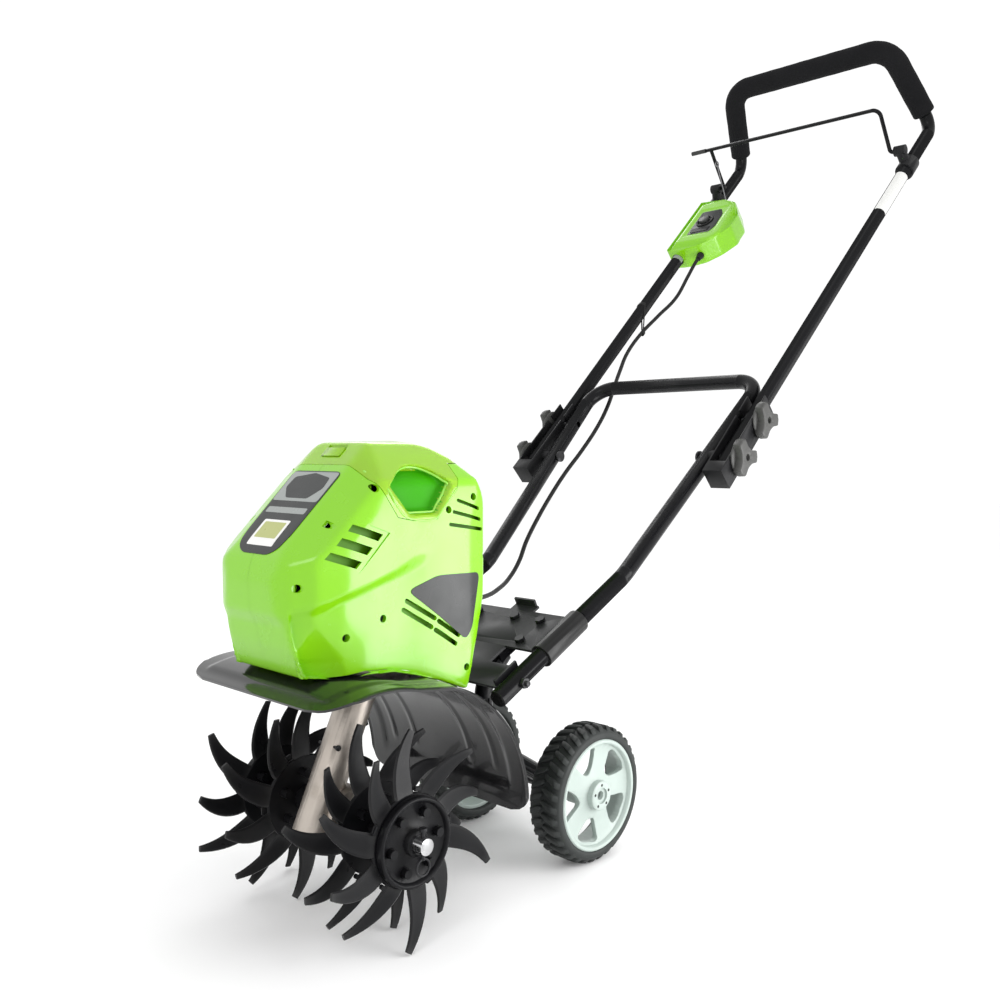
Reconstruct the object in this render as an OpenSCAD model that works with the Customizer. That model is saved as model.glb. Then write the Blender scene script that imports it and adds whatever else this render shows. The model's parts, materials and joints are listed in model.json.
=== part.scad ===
// Cordless garden tiller: battery head, worm gear case, four tine stars, two wheels, folding handle.
// Millimetres. +X is the operator's left, -Y is forward, +Z is up, the ground is Z = 0.

/* [Ground tools] */
// Radius of a tine star at its tips
tine_r = 104; // [98:1:108]
// Number of teeth on one star
tine_teeth = 10; // [6:1:12]
// Thickness of the tine plate
tine_t = 4; // [3:0.5:5]
// Height of the tine shaft above the ground
axle_z = 104; // [104:1:112]
// Distance of the outer stars from the centre plane
outer_x = 112; // [106:1:116]
// Distance of the inner stars from the centre plane
inner_x = 62; // [56:1:70]

/* [Wheels] */
// Tyre radius
tyre_r = 79; // [70:1:85]
// Rim radius
rim_r = 64; // [56:1:66]
// Tyre width
tyre_w = 44; // [36:1:50]
// Outer face of each wheel, from the centre plane
wheel_x = 119; // [112:1:125]
// Wheel axle behind the tine shaft
wheel_y = 281; // [270:1:290]

/* [Body] */
// Wall of the plastic shells
wall = 3; // [2.5:0.5:4]
// Half width of the fender
fender_hw = 130; // [126:1:132]
// Radius of the fender round the tine shaft
fender_r = 150; // [148:1:152]

/* [Gears] */
// Module of the worm drive
gear_m = 1.5; // [1.5:0.5:1.5]
// Teeth on the worm wheel
gear_teeth = 24; // [24:4:24]
// Lean of the worm shaft from the vertical
lean = 24.5; // [24:0.5:25]

/* [Handle] */
// Slope of both handle tubes above the ground
slope = 42.5; // [42.5:0.5:42.5]
// Handle tube radius
tube_r = 10; // [9.5:0.5:10]
// Handle tube wall
tube_wall = 1.5; // [1:0.25:2]
// Foam grip radius
grip_r = 17; // [15:1:18]
// Height of the grip bar
grip_z = 1110; // [1100:5:1120]

/* [Hidden] */
$fn = 48;
eps = 0.01;

// ---------------------------------------------------------------- colours
green = [0.48, 0.85, 0.10];
clear_green = [0.35, 0.95, 0.35, 0.6];
black = [0.06, 0.06, 0.07];
grey = [0.28, 0.28, 0.30];
cast = [0.62, 0.58, 0.54];
steel = [0.75, 0.75, 0.77];
rim_grey = [0.78, 0.84, 0.82];

// ---------------------------------------------------------------- vectors and outlines
function unit(v) = v / norm(v);
function seg_out(a, b) = let (d = unit(b - a)) [d[1], -d[0]];
// An outline moved inwards by d; the outline runs counter-clockwise.
function inset(pts, d) = [
    for (i = [0 : len(pts) - 1])
        let (
            a = pts[(i + len(pts) - 1) % len(pts)],
            b = pts[i],
            c = pts[(i + 1) % len(pts)],
            n1 = seg_out(a, b),
            n2 = seg_out(b, c)
        ) b - d * (n1 + n2) / (1 + n1 * n2)
];
function arc_pts(c, r, a0, a1, steps) = [
    for (i = [0 : steps]) let (a = a0 + (a1 - a0) * i / steps) c + r * [cos(a), sin(a)]
];

// Puts the local x, y and z axes along three given directions at a point.
module frame_at(p, x, y, z) {
    multmatrix([
        [x[0], y[0], z[0], p[0]],
        [x[1], y[1], z[1], p[1]],
        [x[2], y[2], z[2], p[2]],
        [0, 0, 0, 1]
    ]) children();
}

// Local z along the direction from a to b.
module along(a, b) {
    z = unit(b - a);
    side = abs(z[0]) > 0.9 ? [0, 1, 0] : [1, 0, 0];
    y = unit(cross(z, side));
    frame_at(a, cross(y, z), y, z) children();
}

module rod(a, b, r) {
    along(a, b) cylinder(h = norm(b - a), r = r);
}

// Cylinder along X from x0 to x1 at height z and depth y.
module x_rod(x0, x1, y, z, r) {
    translate([x0, y, z]) rotate([0, 90, 0]) cylinder(h = x1 - x0, r = r);
}

// Side outlines (Y, Z) drawn out along X, and front outlines (X, Z) drawn out along Y.
module side_solid(pts, x0, x1) {
    translate([x0, 0, 0]) rotate([90, 0, 90]) linear_extrude(x1 - x0) polygon(pts);
}

module front_solid(pts, y0, y1) {
    translate([0, y1, 0]) rotate([90, 0, 0]) linear_extrude(y1 - y0) polygon(pts);
}

// Round bent rod through corner points. Each bend has its own radius, and stands a hair proud of
// the straight lengths, which run on into it; reach is how far the two ends are drawn out.
bend_proud = 0.05;
function turn_at(p, i) = acos(unit(p[i] - p[i - 1]) * unit(p[i + 1] - p[i]));
function trim_at(p, i, bend_r) = bend_r[i] * tan(turn_at(p, i) / 2);
function end_shift(p, i, bend_r, reach) = i == 0 || i == len(p) - 1 ? -reach : trim_at(p, i, bend_r) - 1;

module bent_rod(p, bend_r, r, reach = 0) {
    for (i = [0 : len(p) - 2]) {
        d = unit(p[i + 1] - p[i]);
        a = p[i] + d * end_shift(p, i, bend_r, reach);
        b = p[i + 1] - d * end_shift(p, i + 1, bend_r, reach);
        rod(a, b, r);
    }
    for (i = [1 : len(p) - 2]) {
        a = unit(p[i] - p[i - 1]);
        b = unit(p[i + 1] - p[i]);
        inward = unit(b - (a * b) * a);
        start = p[i] - a * trim_at(p, i, bend_r);
        frame_at(start + inward * bend_r[i], -inward, a, cross(-inward, a))
            rotate_extrude(angle = turn_at(p, i)) translate([bend_r[i], 0]) circle(r = r + bend_proud);
    }
}

module bent_tube(p, bend_r, ro, ri) {
    difference() {
        bent_rod(p, bend_r, ro);
        bent_rod(p, bend_r, ri, 2);
    }
}

module both_sides() {
    children();
    mirror([1, 0, 0]) children();
}

// ---------------------------------------------------------------- gear frame
// Local z runs up the worm shaft, local x is the tine shaft, local -y is forward.
worm_pitch_r = 8.75;
wheel_pitch_r = gear_m * gear_teeth / 2;
worm_y = -(worm_pitch_r + wheel_pitch_r);
thread_pitch = PI * gear_m;
column_r = 19;
column_z0 = -38;
flange_z = 165;
flange_r = 45;
drum_r = 29;
drum_hx = 26;
shaft_r = 8;
shaft_hx = 137;

module gear_frame() {
    translate([0, 0, axle_z]) rotate([-lean, 0, 0]) children();
}

module on_worm() {
    gear_frame() translate([0, worm_y, 0]) children();
}

module gear_case_body() {
    on_worm() translate([0, 0, column_z0]) cylinder(h = flange_z - column_z0, r = column_r);
    on_worm() translate([0, 0, flange_z - 8]) cylinder(h = 8, r = flange_r);
    on_worm() translate([0, 0, flange_z - 30]) cylinder(h = 22 + eps, r1 = column_r, r2 = flange_r - 12);
    gear_frame() rotate([0, 90, 0]) cylinder(h = 2 * drum_hx, r = drum_r, center = true);
    gear_frame() translate([-14, worm_y, -24]) cube([28, -worm_y, 48]);
}

module gear_case_cavity() {
    // Worm bore with wider seats for the ball bearings at each end.
    on_worm() translate([0, 0, column_z0 + 4]) cylinder(h = 220, r = 10.5);
    on_worm() translate([0, 0, -30]) cylinder(h = 8, r = 11);
    on_worm() translate([0, 0, 40]) cylinder(h = 8, r = 11);
    // Chamber of the worm wheel, and the bore through both side walls.
    gear_frame() rotate([0, 90, 0]) cylinder(h = 20, r = 23, center = true);
    gear_frame() rotate([0, 90, 0]) cylinder(h = 80, r = 12, center = true);
}

case_screws = [
    [worm_y - 14.5, 60], [worm_y - 14.5, 130], [worm_y + 14.5, 60], [worm_y + 14.5, 130],
    [0, -25.5], [25.5, 0]
];

module gear_case_half() {
    difference() {
        gear_case_body();
        gear_case_cavity();
        translate([-200, -200, -100]) cube([200, 500, 700]);
        for (s = case_screws)
            gear_frame() translate([-1, s[0], s[1]]) rotate([0, 90, 0]) cylinder(h = 60, r = 1.7);
    }
}

module gear_case_left() {
    color(cast) gear_case_half();
}

module gear_case_right() {
    color(cast) mirror([1, 0, 0]) gear_case_half();
}

module gear_case_screws() {
    color(steel)
        for (s = case_screws) {
            half = s[1] < 10 ? drum_hx + 0.05 : 15.3;
            gear_frame() translate([-half, s[0], s[1]]) rotate([0, 90, 0]) {
                cylinder(h = 2 * half, r = 1.6);
                translate([0, 0, 2 * half]) cylinder(h = 2.5, r = 3);
            }
        }
}

module tine_shaft() {
    color(steel)
        difference() {
            x_rod(-shaft_hx, shaft_hx, 0, axle_z, shaft_r);
            for (s = [-1, 1])
                translate([s * (shaft_hx - 6), 0, axle_z]) cylinder(h = 30, r = 2.1, center = true);
        }
}

module shaft_bushes() {
    color([0.75, 0.6, 0.3])
        both_sides() gear_frame() translate([12, 0, 0]) rotate([0, 90, 0])
            difference() {
                cylinder(h = 16, r = 12 - eps);
                translate([0, 0, -1]) cylinder(h = 18, r = shaft_r + 0.05);
            }
}

// Straight teeth, thinned so that the thread has room at every turn.
module worm_wheel() {
    root = wheel_pitch_r - 1.9;
    tip = wheel_pitch_r + 1.3;
    color([0.7, 0.55, 0.25])
        gear_frame() rotate([0, -90, 0])
            difference() {
                union() {
                    translate([0, 0, -5]) cylinder(h = 10, r = root);
                    for (i = [0 : gear_teeth - 1])
                        rotate(90 + i * 360 / gear_teeth) translate([0, 0, -4]) linear_extrude(8)
                            polygon([[root - 1, -1.0], [tip, -0.45], [tip, 0.45], [root - 1, 1.0]]);
                }
                translate([0, 0, -6]) cylinder(h = 12, r = shaft_r + 0.02);
            }
}

// One-start right-hand thread; the profile is a round core with one tooth.
thread_turns = 4;
core_r = worm_pitch_r - 1.9;
crest_r = worm_pitch_r + 1.1;
function thread_r(a) = let (d = abs(a - 180) / 180) d < 0.16 ? crest_r
    : d > 0.46 ? core_r
    : crest_r + (core_r - crest_r) * (d - 0.16) / 0.30;

module worm_shaft() {
    length = thread_turns * thread_pitch;
    color(steel)
        on_worm() {
            translate([0, 0, -length / 2]) rotate(90 - 180 * thread_turns)
                linear_extrude(length, twist = -360 * thread_turns, slices = 40)
                    polygon([for (i = [0 : 11]) let (a = i * 30) thread_r(a) * [cos(a), sin(a)]]);
            translate([0, 0, -31]) cylinder(h = 75, r = 4);
            translate([0, 0, 12]) cylinder(h = 155, r = 5.5);
        }
}

module bearing(z) {
    translate([0, 0, z])
        difference() {
            cylinder(h = 7, r = 11 - eps);
            translate([0, 0, -1]) cylinder(h = 9, r = z < 0 ? 4.05 : 5.55);
        }
}

module drive_bearings() {
    color(steel) on_worm() {
        bearing(-29.5);
        bearing(40.5);
    }
}

// ---------------------------------------------------------------- motor
motor_r = 38;
motor_z0 = flange_z + 6;
motor_len = 86;

module motor_end_plate() {
    color(steel)
        on_worm() translate([0, 0, flange_z + 0.05])
            difference() {
                cylinder(h = 5.9, r = motor_r + 2);
                translate([0, 0, -1]) cylinder(h = 8, r = 8);
            }
}

module motor_can() {
    color(grey)
        on_worm() translate([0, 0, motor_z0])
            difference() {
                cylinder(h = motor_len, r = motor_r);
                translate([0, 0, -1]) cylinder(h = motor_len - 1, r = motor_r - 2.5);
                cylinder(h = motor_len + 1, r = 8);
                for (a = [0 : 60 : 300])
                    rotate(a) translate([22, 0, motor_len - 3]) cylinder(h = 5, r = 5);
            }
}

module armature() {
    color([0.65, 0.4, 0.25])
        on_worm() {
            translate([0, 0, flange_z + 2.1]) cylinder(h = motor_len + 22, r = 5.5);
            translate([0, 0, motor_z0 + 12]) cylinder(h = 46, r = 28);
            translate([0, 0, motor_z0 + 58]) cylinder(h = 14, r = 13);
        }
}

module cooling_fan() {
    color(black)
        on_worm() translate([0, 0, motor_z0 + motor_len + 4]) {
            difference() {
                cylinder(h = 3, r = 34);
                translate([0, 0, -1]) cylinder(h = 6, r = 5.5 + eps);
            }
            for (a = [0 : 45 : 315])
                rotate(a) translate([14, -1, 2]) cube([19, 2, 9]);
        }
}

// ---------------------------------------------------------------- housing
side_outline = [
    [-86, 266], [-60, 262], [-25, 266], [5, 264], [35, 256], [65, 246], [104, 230],
    [112, 255], [126, 300], [139, 345], [145, 384], [136, 420], [120, 450], [103, 470],
    [84, 481], [57, 487], [0, 485], [-8, 471], [-84, 395], [-100, 375], [-105, 355],
    [-103, 325], [-96, 292]
];
front_outline = [
    [-86, 200], [86, 200], [88, 300], [88, 400], [83, 446], [56, 472], [42, 484], [20, 487],
    [-20, 487], [-42, 484], [-56, 472], [-83, 446], [-88, 400], [-88, 300]
];
plan_outline = [
    [36, -106], [58, -98], [78, -80], [86, -50], [88, -20], [88, 105], [82, 130], [66, 143], [30, 150],
    [-30, 150], [-66, 143], [-82, 130], [-88, 105], [-88, -20], [-86, -50], [-78, -80], [-58, -98],
    [-36, -106]
];
// Section across the sloped front: X, and the distance along the slope's outward normal.
roof_outline = [
    [-90, 0], [90, 0], [90, 300], [80, 323], [41, 338], [-41, 338], [-80, 323], [-90, 300]
];
module housing_form(d) {
    intersection() {
        side_solid(inset(side_outline, d), -100, 100);
        front_solid(inset(front_outline, d), -150, 200);
        translate([0, 0, 150]) linear_extrude(400) polygon(inset(plan_outline, d));
        frame_at([0, -300, -300], [1, 0, 0], [0, -sqrt(0.5), sqrt(0.5)], [0, sqrt(0.5), sqrt(0.5)])
            linear_extrude(1200) polygon(inset(roof_outline, d));
    }
}

// Side view of the lid: the roof from the latch to the hinge, with a flap down each side.
lid_hinge = [98, 463];
pin_r = 2;
lid_outline = [
    [9, 411], [28, 407], [60, 407], [69, 416], [90, 436], [93.5, 447], [93.5, 462], [106, 462],
    [106, 500], [-20, 500], [-14, 448]
];
pocket_c = [44, 425];
pocket_r = 38;

module pocket_form(d, x0, x1) {
    intersection() {
        x_rod(x0, x1, pocket_c[0], pocket_c[1], pocket_r - d);
        side_solid(inset(lid_outline, 0.5 + d), x0 - 1, x1 + 1);
    }
}

module battery_lid() {
    color(clear_green)
        difference() {
            union() {
                difference() {
                    intersection() {
                        housing_form(0);
                        side_solid(inset(lid_outline, 0.5), -100, 100);
                    }
                    housing_form(wall);
                }
                both_sides() intersection() {
                    housing_form(0.5);
                    pocket_form(0, 46, 100);
                }
                // Hinge lugs under the rear edge.
                both_sides() intersection() {
                    housing_form(wall / 2);
                    translate([30, 94, 458]) cube([18, 8, 20]);
                }
            }
            both_sides() pocket_form(2, 48, 120);
            x_rod(-100, 100, lid_hinge[0], lid_hinge[1], pin_r + 0.08);
            // Notch for the latch and its travel.
            translate([-16, -30, 470]) cube([32, 34, 40]);
        }
}

module lid_hinge_pin() {
    color(steel) x_rod(-60, 60, lid_hinge[0], lid_hinge[1], pin_r);
}

module lid_latch() {
    color(clear_green)
        difference() {
            intersection() {
                housing_form(-1);
                translate([-15.5, -9, 470.5]) cube([31, 9, 30]);
            }
            housing_form(4);
        }
}

housing_screw_spots = [
    [-14, 440], [-58, 407], [-92, 350], [-46, 300], [-5, 314], [76, 416], [112, 428], [132, 366], [100, 252]
];

// Vent openings through the side wall: the grille, the rear slits and the lower slits.
module vents() {
    for (i = [0 : 2])
        translate([70, -62 + 19 * i, 366 + 17 * i]) cube([40, 26, 9]);
    for (i = [0 : 2])
        translate([70, 92 + 3 * i, 412 - 12 * i]) cube([40, 34 - 3 * i, 4]);
    for (i = [0 : 1], k = [0 : 1])
        translate([70, 15 + 34 * k - 4 * i, 306 - 15 * i - 15 * k]) cube([40, 27, 5]);
}

// Holder of the lid hinge pin: a shelf on the side wall and an upright with a round head.
module pin_holder() {
    intersection() {
        housing_form(wall / 2);
        union() {
            translate([49, 95, 440]) cube([43, 8, 6]);
            translate([49, 95, 440]) cube([5.5, 6, 23]);
            x_rod(49, 54.5, lid_hinge[0], lid_hinge[1], 3.8);
        }
    }
}

module shell_half() {
    difference() {
        union() {
            difference() {
                union() {
                    difference() {
                        housing_form(0);
                        housing_form(wall);
                    }
                    // Screw bosses, from the centre plane into the side wall.
                    intersection() {
                        housing_form(wall / 2);
                        for (s = housing_screw_spots)
                            x_rod(-10, 100, s[0], s[1], 6);
                    }
                }
                side_solid(lid_outline, -1, 120);
                // Room behind the lid for its rear edge, then for the chassis plate and the gear case.
                translate([-1, 90, 450]) cube([69, 21, 42]);
                translate([-1, 60, 150]) cube([84, 60, 92]);
                translate([-1, -60, 150]) cube([60, 150, 118]);
                vents();
            }
            pin_holder();
        }
        translate([-200, -200, 0]) cube([200, 500, 700]);
        x_rod(0, 70, lid_hinge[0], lid_hinge[1], pin_r + 0.02);
        for (s = housing_screw_spots) {
            x_rod(8, 120, s[0], s[1], 3.8);
            x_rod(-11, 9, s[0], s[1], 2.1);
        }
    }
}

module housing_left() {
    color(green) shell_half();
}

module housing_right() {
    color(green) mirror([1, 0, 0]) shell_half();
}

module housing_screws() {
    color(black)
        for (s = housing_screw_spots) {
            x_rod(-7, 8.5, s[0], s[1], 2);
            x_rod(8.1, 12, s[0], s[1], 3.6);
        }
}

module front_label() {
    color(grey)
        intersection() {
            difference() {
                housing_form(-1.2);
                housing_form(0);
            }
            translate([-39, -120, 385]) cube([78, 110, 72]);
        }
}

badge_outline = [[26, 331], [50, 316], [84, 290], [98, 274], [108, 300], [122, 334], [60, 342]];

module side_badges() {
    color(grey)
        both_sides() intersection() {
            difference() {
                housing_form(-1);
                housing_form(0);
            }
            side_solid(badge_outline, 60, 100);
        }
}

// ---------------------------------------------------------------- battery bay, parallel to the sloped front
module bay() {
    frame_at([0, -2, 402], [1, 0, 0], [0, -sqrt(0.5), sqrt(0.5)], [0, sqrt(0.5), sqrt(0.5)]) children();
}

module battery_pack() {
    color(black)
        bay() difference() {
            translate([-37, -29, -62]) cube([74, 58, 122]);
            for (s = [-1, 1])
                translate([s * 37 - 3, -4, -63]) cube([6, 8, 110]);
        }
}

module battery_tray() {
    color(grey)
        bay() difference() {
            translate([-42.5, -32, -66]) cube([85, 61, 110]);
            translate([-37.5, -29.5, -62.5]) cube([75, 80, 120]);
            translate([-20, -29.5, -70]) cube([40, 40, 12]);
        }
}

module terminal_block() {
    color(black)
        bay() {
            translate([-19.5, -20, -71]) cube([39, 28, 8]);
            for (s = [-1, 1])
                translate([s * 10 - 2.5, -14, -81]) cube([5, 16, 10]);
        }
}

module battery_release() {
    color(green)
        bay() translate([-14, -43, 30]) cube([28, 10.7, 12]);
}

module controller() {
    color([0.1, 0.4, 0.2]) {
        translate([-40, -84, 284]) cube([80, 3, 50]);
        for (i = [-3 : 3])
            translate([i * 10 - 1.5, -81, 290]) cube([3, 12, 38]);
    }
}

// ---------------------------------------------------------------- fender and frame
fender_t = 2.5;
fender_front_c = [-40, 109];

module fender_section() {
    rear_c = [0, axle_z];
    outer = concat(arc_pts(rear_c, fender_r, -4, 74, 20), arc_pts(fender_front_c, fender_r, 73, 115, 12));
    inner = concat(
        arc_pts(fender_front_c, fender_r - fender_t, 115, 73, 12),
        arc_pts(rear_c, fender_r - fender_t, 74, -4, 20)
    );
    polygon(concat(outer, inner));
}

module fender() {
    color(black)
        difference() {
            intersection() {
                translate([-fender_hw, 0, 0]) rotate([90, 0, 90])
                    linear_extrude(2 * fender_hw) fender_section();
                // Round corners in plan at the front, and at the foot of the rear.
                translate([0, 0, 60]) linear_extrude(300)
                    union() {
                        translate([-fender_hw, -66]) square([2 * fender_hw, 240]);
                        for (s = [-1, 1])
                            translate([s * (fender_hw - 38), -66]) circle(r = 38);
                        translate([-fender_hw + 38, -104]) square([2 * fender_hw - 76, 80]);
                    }
                translate([0, 200, 0]) rotate([90, 0, 0]) linear_extrude(400)
                    union() {
                        translate([-fender_hw, 118]) square([2 * fender_hw, 250]);
                        for (s = [-1, 1])
                            translate([s * (fender_hw - 24), 118]) circle(r = 24);
                        translate([-fender_hw + 24, 94]) square([2 * fender_hw - 48, 60]);
                    }
            }
            // Opening for the gear case column.
            on_worm() translate([0, 0, 100]) cylinder(h = 120, r = 34);
        }
}

// Folded plate: flat on the gear case flange, then up to the cross plate, with ears on the legs.
chassis_t = 3;
chassis_hx = 58;
// Direction of the posts from the tine shaft to the chassis.
post_dir = [0, cos(46), sin(46)];

module chassis() {
    color(grey)
        difference() {
            union() {
                on_worm() translate([-chassis_hx, -50, flange_z + 0.05])
                    cube([2 * chassis_hx, 145, chassis_t]);
                plate_frame() {
                    translate([-chassis_hx, -101, -1.5])
                        cube([2 * chassis_hx, 101 - plate_hy - 0.05, chassis_t]);
                    translate([-ear_x, ear_y - 18, -1.5]) cube([2 * ear_x, 36, chassis_t]);
                    for (s = [-1, 1])
                        translate([s * (ear_x - 1.5) - 1.5, ear_y - 18, -12]) cube([3, 36, 22]);
                }
                // Posts down to the fender.
                for (s = [-1, 1])
                    rod(
                        [s * 50, 0, axle_z] + (fender_r + 0.05) * post_dir,
                        [s * 50, 0, axle_z] + 176.5 * post_dir, 4
                    );
            }
            on_worm() translate([0, 0, 140]) cylinder(h = 80, r = motor_r + 2.3);
            plate_frame() translate([-150, ear_y, -2]) rotate([0, 90, 0]) cylinder(h = 300, r = 3.1);
            // Room for the nuts of the leg bolts.
            both_sides() plate_frame() translate([ear_x - 11, ear_y - 7, -9]) cube([8, 14, 15]);
        }
}

leg_x = 113;
bend_pt = [leg_x, 330, 328];
leg_low = [leg_x, 119.1, 219.2];
corner_pt = [142, 593, 569];

module lower_handle() {
    pts = [
        leg_low, bend_pt, corner_pt,
        [-corner_pt[0], corner_pt[1], corner_pt[2]],
        [-bend_pt[0], bend_pt[1], bend_pt[2]],
        [-leg_low[0], leg_low[1], leg_low[2]]
    ];
    color(black)
        difference() {
            bent_tube(pts, [0, 70, 34, 34, 70, 0], tube_r, tube_r - tube_wall);
            for (y = [fold_y, clamp_y], s = [-1, 1])
                translate([s * 130, y, line_z(y)]) rotate([0, 90, 0])
                    cylinder(h = 60, r = 4.2, center = true);
            plate_frame() translate([-150, ear_y, -2]) rotate([0, 90, 0]) cylinder(h = 300, r = 3.2);
        }
}

// Lower legs: unit direction from the low end to the bend.
leg_dir = unit(bend_pt - leg_low);
sleeve_mid = leg_low + leg_dir * 110;
plate_hy = 33;
ear_x = leg_x - tube_r - 0.1;
ear_y = -80;

module leg_sleeves() {
    color(black)
        both_sides() along(sleeve_mid - leg_dir * 35, sleeve_mid + leg_dir * 35)
            difference() {
                cylinder(h = 70, r = tube_r + 3.5);
                translate([0, 0, -1]) cylinder(h = 72, r = tube_r + 0.02);
            }
}

// The cross plate lies between the sleeves, with folded edges and a raised tab.
module plate_frame() {
    frame_at([0, sleeve_mid[1], sleeve_mid[2] + 2], [1, 0, 0], leg_dir, cross([1, 0, 0], leg_dir)) children();
}

plate_holes = [[70, 18], [70, -20], [30, 18], [-30, 18], [-70, 18], [-70, -20]];

module cross_plate() {
    half = leg_x - tube_r - 3.6;
    color(grey)
        plate_frame() difference() {
            union() {
                translate([-half, -plate_hy, -1.5]) cube([2 * half, 2 * plate_hy, 3]);
                translate([-half, plate_hy - 3, -12]) cube([2 * half, 3, 12]);
                translate([10, plate_hy - 1, -1.5]) cube([36, 13, 3]);
                translate([12, 42, -1.5]) cube([32, 3, 12]);
            }
            for (h = plate_holes)
                translate([h[0], h[1], -5]) cylinder(h = 10, r = 3.2);
        }
}

module plate_bolts() {
    color(black)
        plate_frame() for (h = plate_holes)
            translate([h[0], h[1], -7]) {
                cylinder(h = 10, r = 3);
                translate([0, 0, 8.6]) cylinder(h = 4, r = 6, $fn = 6);
                translate([0, 0, 1]) cylinder(h = 4, r = 5.5, $fn = 6);
            }
    // Bolts through the legs and the ears of the chassis plate.
    color(black)
        both_sides() plate_frame() translate([0, ear_y, -2]) rotate([0, 90, 0]) {
            translate([0, 0, ear_x - 10]) cylinder(h = 38, r = 3);
            translate([0, 0, ear_x - 7.4]) cylinder(h = 4, r = 5.5, $fn = 6);
            translate([0, 0, leg_x + tube_r + 0.3]) cylinder(h = 4, r = 6, $fn = 6);
        }
}

// ---------------------------------------------------------------- wheels
arm_x = 46;
wheel_z = tyre_r + 0.2;
axle_r = 5;
frame_top = [arm_x, 196, 246];

module wheel_frame() {
    pts = [frame_top, [arm_x, 164, 216], [arm_x, 166, 150], [arm_x, wheel_y, wheel_z]];
    color(black) {
        difference() {
            union() {
                both_sides() bent_rod(pts, [0, 30, 40, 0], tube_r);
                x_rod(-arm_x - 10, arm_x + 10, wheel_y, wheel_z, tube_r + 1);
                x_rod(-arm_x, arm_x, 165, 180, 6);
                plate_frame() for (s = [-1, 1])
                    translate([s * arm_x - 10, -44, -14]) cube([20, 36, 12.45]);
            }
            x_rod(-200, 200, wheel_y, wheel_z, axle_r + 0.05);
        }
    }
}

hub_in = wheel_x - tyre_w + 4;

module wheel_axle() {
    color(steel) {
        x_rod(-wheel_x + 4, wheel_x - 4, wheel_y, wheel_z, axle_r);
        both_sides() difference() {
            x_rod(hub_in - 12, hub_in - 0.5, wheel_y, wheel_z, 9);
            x_rod(hub_in - 13, hub_in, wheel_y, wheel_z, axle_r - eps);
        }
    }
}

spokes = 5;

module rim() {
    difference() {
        x_rod(wheel_x - tyre_w + 6, wheel_x, wheel_y, wheel_z, rim_r);
        x_rod(wheel_x - tyre_w, wheel_x - 14, wheel_y, wheel_z, rim_r - 5);
        x_rod(wheel_x - 6, wheel_x + 1, wheel_y, wheel_z, rim_r - 5);
        for (i = [0 : spokes - 1])
            translate([wheel_x - 20, wheel_y, wheel_z]) rotate([0, 90, 0]) rotate(i * 360 / spokes + 36)
                linear_extrude(30) polygon([[24, -9], [54, -24], [56, 8], [50, 20], [26, 6]]);
        x_rod(0, 200, wheel_y, wheel_z, axle_r + 0.06);
    }
    difference() {
        x_rod(hub_in, wheel_x + 2, wheel_y, wheel_z, 17);
        x_rod(0, 200, wheel_y, wheel_z, axle_r + 0.06);
    }
}

module left_rim() {
    color(rim_grey) rim();
}

module right_rim() {
    color(rim_grey) mirror([1, 0, 0]) rim();
}

lugs = 36;

module tyre() {
    translate([wheel_x - 1, wheel_y, wheel_z]) rotate([0, -90, 0]) {
        rotate_extrude() polygon([
            [rim_r + eps, 0], [tyre_r - 7, 0], [tyre_r - 3, 4], [tyre_r - 3, tyre_w - 4],
            [tyre_r - 7, tyre_w], [rim_r + eps, tyre_w]
        ]);
        // Two rows of lugs, half a lug apart.
        for (i = [0 : lugs - 1], s = [0, 1])
            rotate(i * 360 / lugs + s * 5) translate([tyre_r - 5, -3, s == 0 ? 3 : tyre_w / 2 + 1])
                cube([5, 7, tyre_w / 2 - 4]);
    }
}

module left_tyre() {
    color(black) tyre();
}

module right_tyre() {
    color(black) mirror([1, 0, 0]) tyre();
}

// ---------------------------------------------------------------- tines
star_r = 46;
tooth_root = star_r - 0.6;
// Edges of a tooth from root to tip, s = 0 to 1: the front edge bulges, the rear edge is scooped.
function lead_edge(s) =
    let (r = tooth_root + (tine_r - tooth_root) * s, a = 14.5 - 29 * pow(s, 1.15)) r * [cos(a), sin(a)];
function trail_edge(s) =
    let (r = tooth_root + (tine_r - 3 - tooth_root) * s, a = -14.5 - 3.6 * s + 3 * sin(180 * s))
    r * [cos(a), sin(a)];
tooth_outline = concat(
    [for (i = [0 : 6]) trail_edge(i / 6)],
    [for (i = [6 : -1 : 0]) lead_edge(i / 6)]
);
tooth_bend = 13;

// A star in the YZ plane at x = 0; teeth lean out and in by turns, hub bore at the middle.
module tine_star(bore) {
    rotate([90, 0, 90]) difference() {
        union() {
            translate([0, 0, -tine_t / 2]) cylinder(h = tine_t, r = star_r);
            for (i = [0 : tine_teeth - 1])
                rotate(i * 360 / tine_teeth) translate([star_r, 0, 0])
                    rotate([0, (i % 2 == 0 ? -1 : 1) * tooth_bend, 0]) translate([-star_r, 0, -tine_t / 2])
                        linear_extrude(tine_t) polygon(tooth_outline);
        }
        translate([0, 0, -20]) cylinder(h = 40, r = bore);
        for (a = [0 : 60 : 300])
            rotate(a + 15) translate([29, 0, -20]) cylinder(h = 40, r = 4.5);
    }
}

hub_r = 13;

module tine_at(x, phase) {
    color(black) translate([x, 0, axle_z]) rotate([phase, 0, 0]) tine_star(hub_r + 0.03);
}

module left_outer_tine() {
    tine_at(outer_x, -9);
}

module left_inner_tine() {
    tine_at(inner_x, 4);
}

module right_outer_tine() {
    mirror([1, 0, 0]) tine_at(outer_x, 9);
}

module right_inner_tine() {
    mirror([1, 0, 0]) tine_at(inner_x, 22);
}

hub_x0 = 33;
hub_x1 = outer_x + 13;

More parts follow.
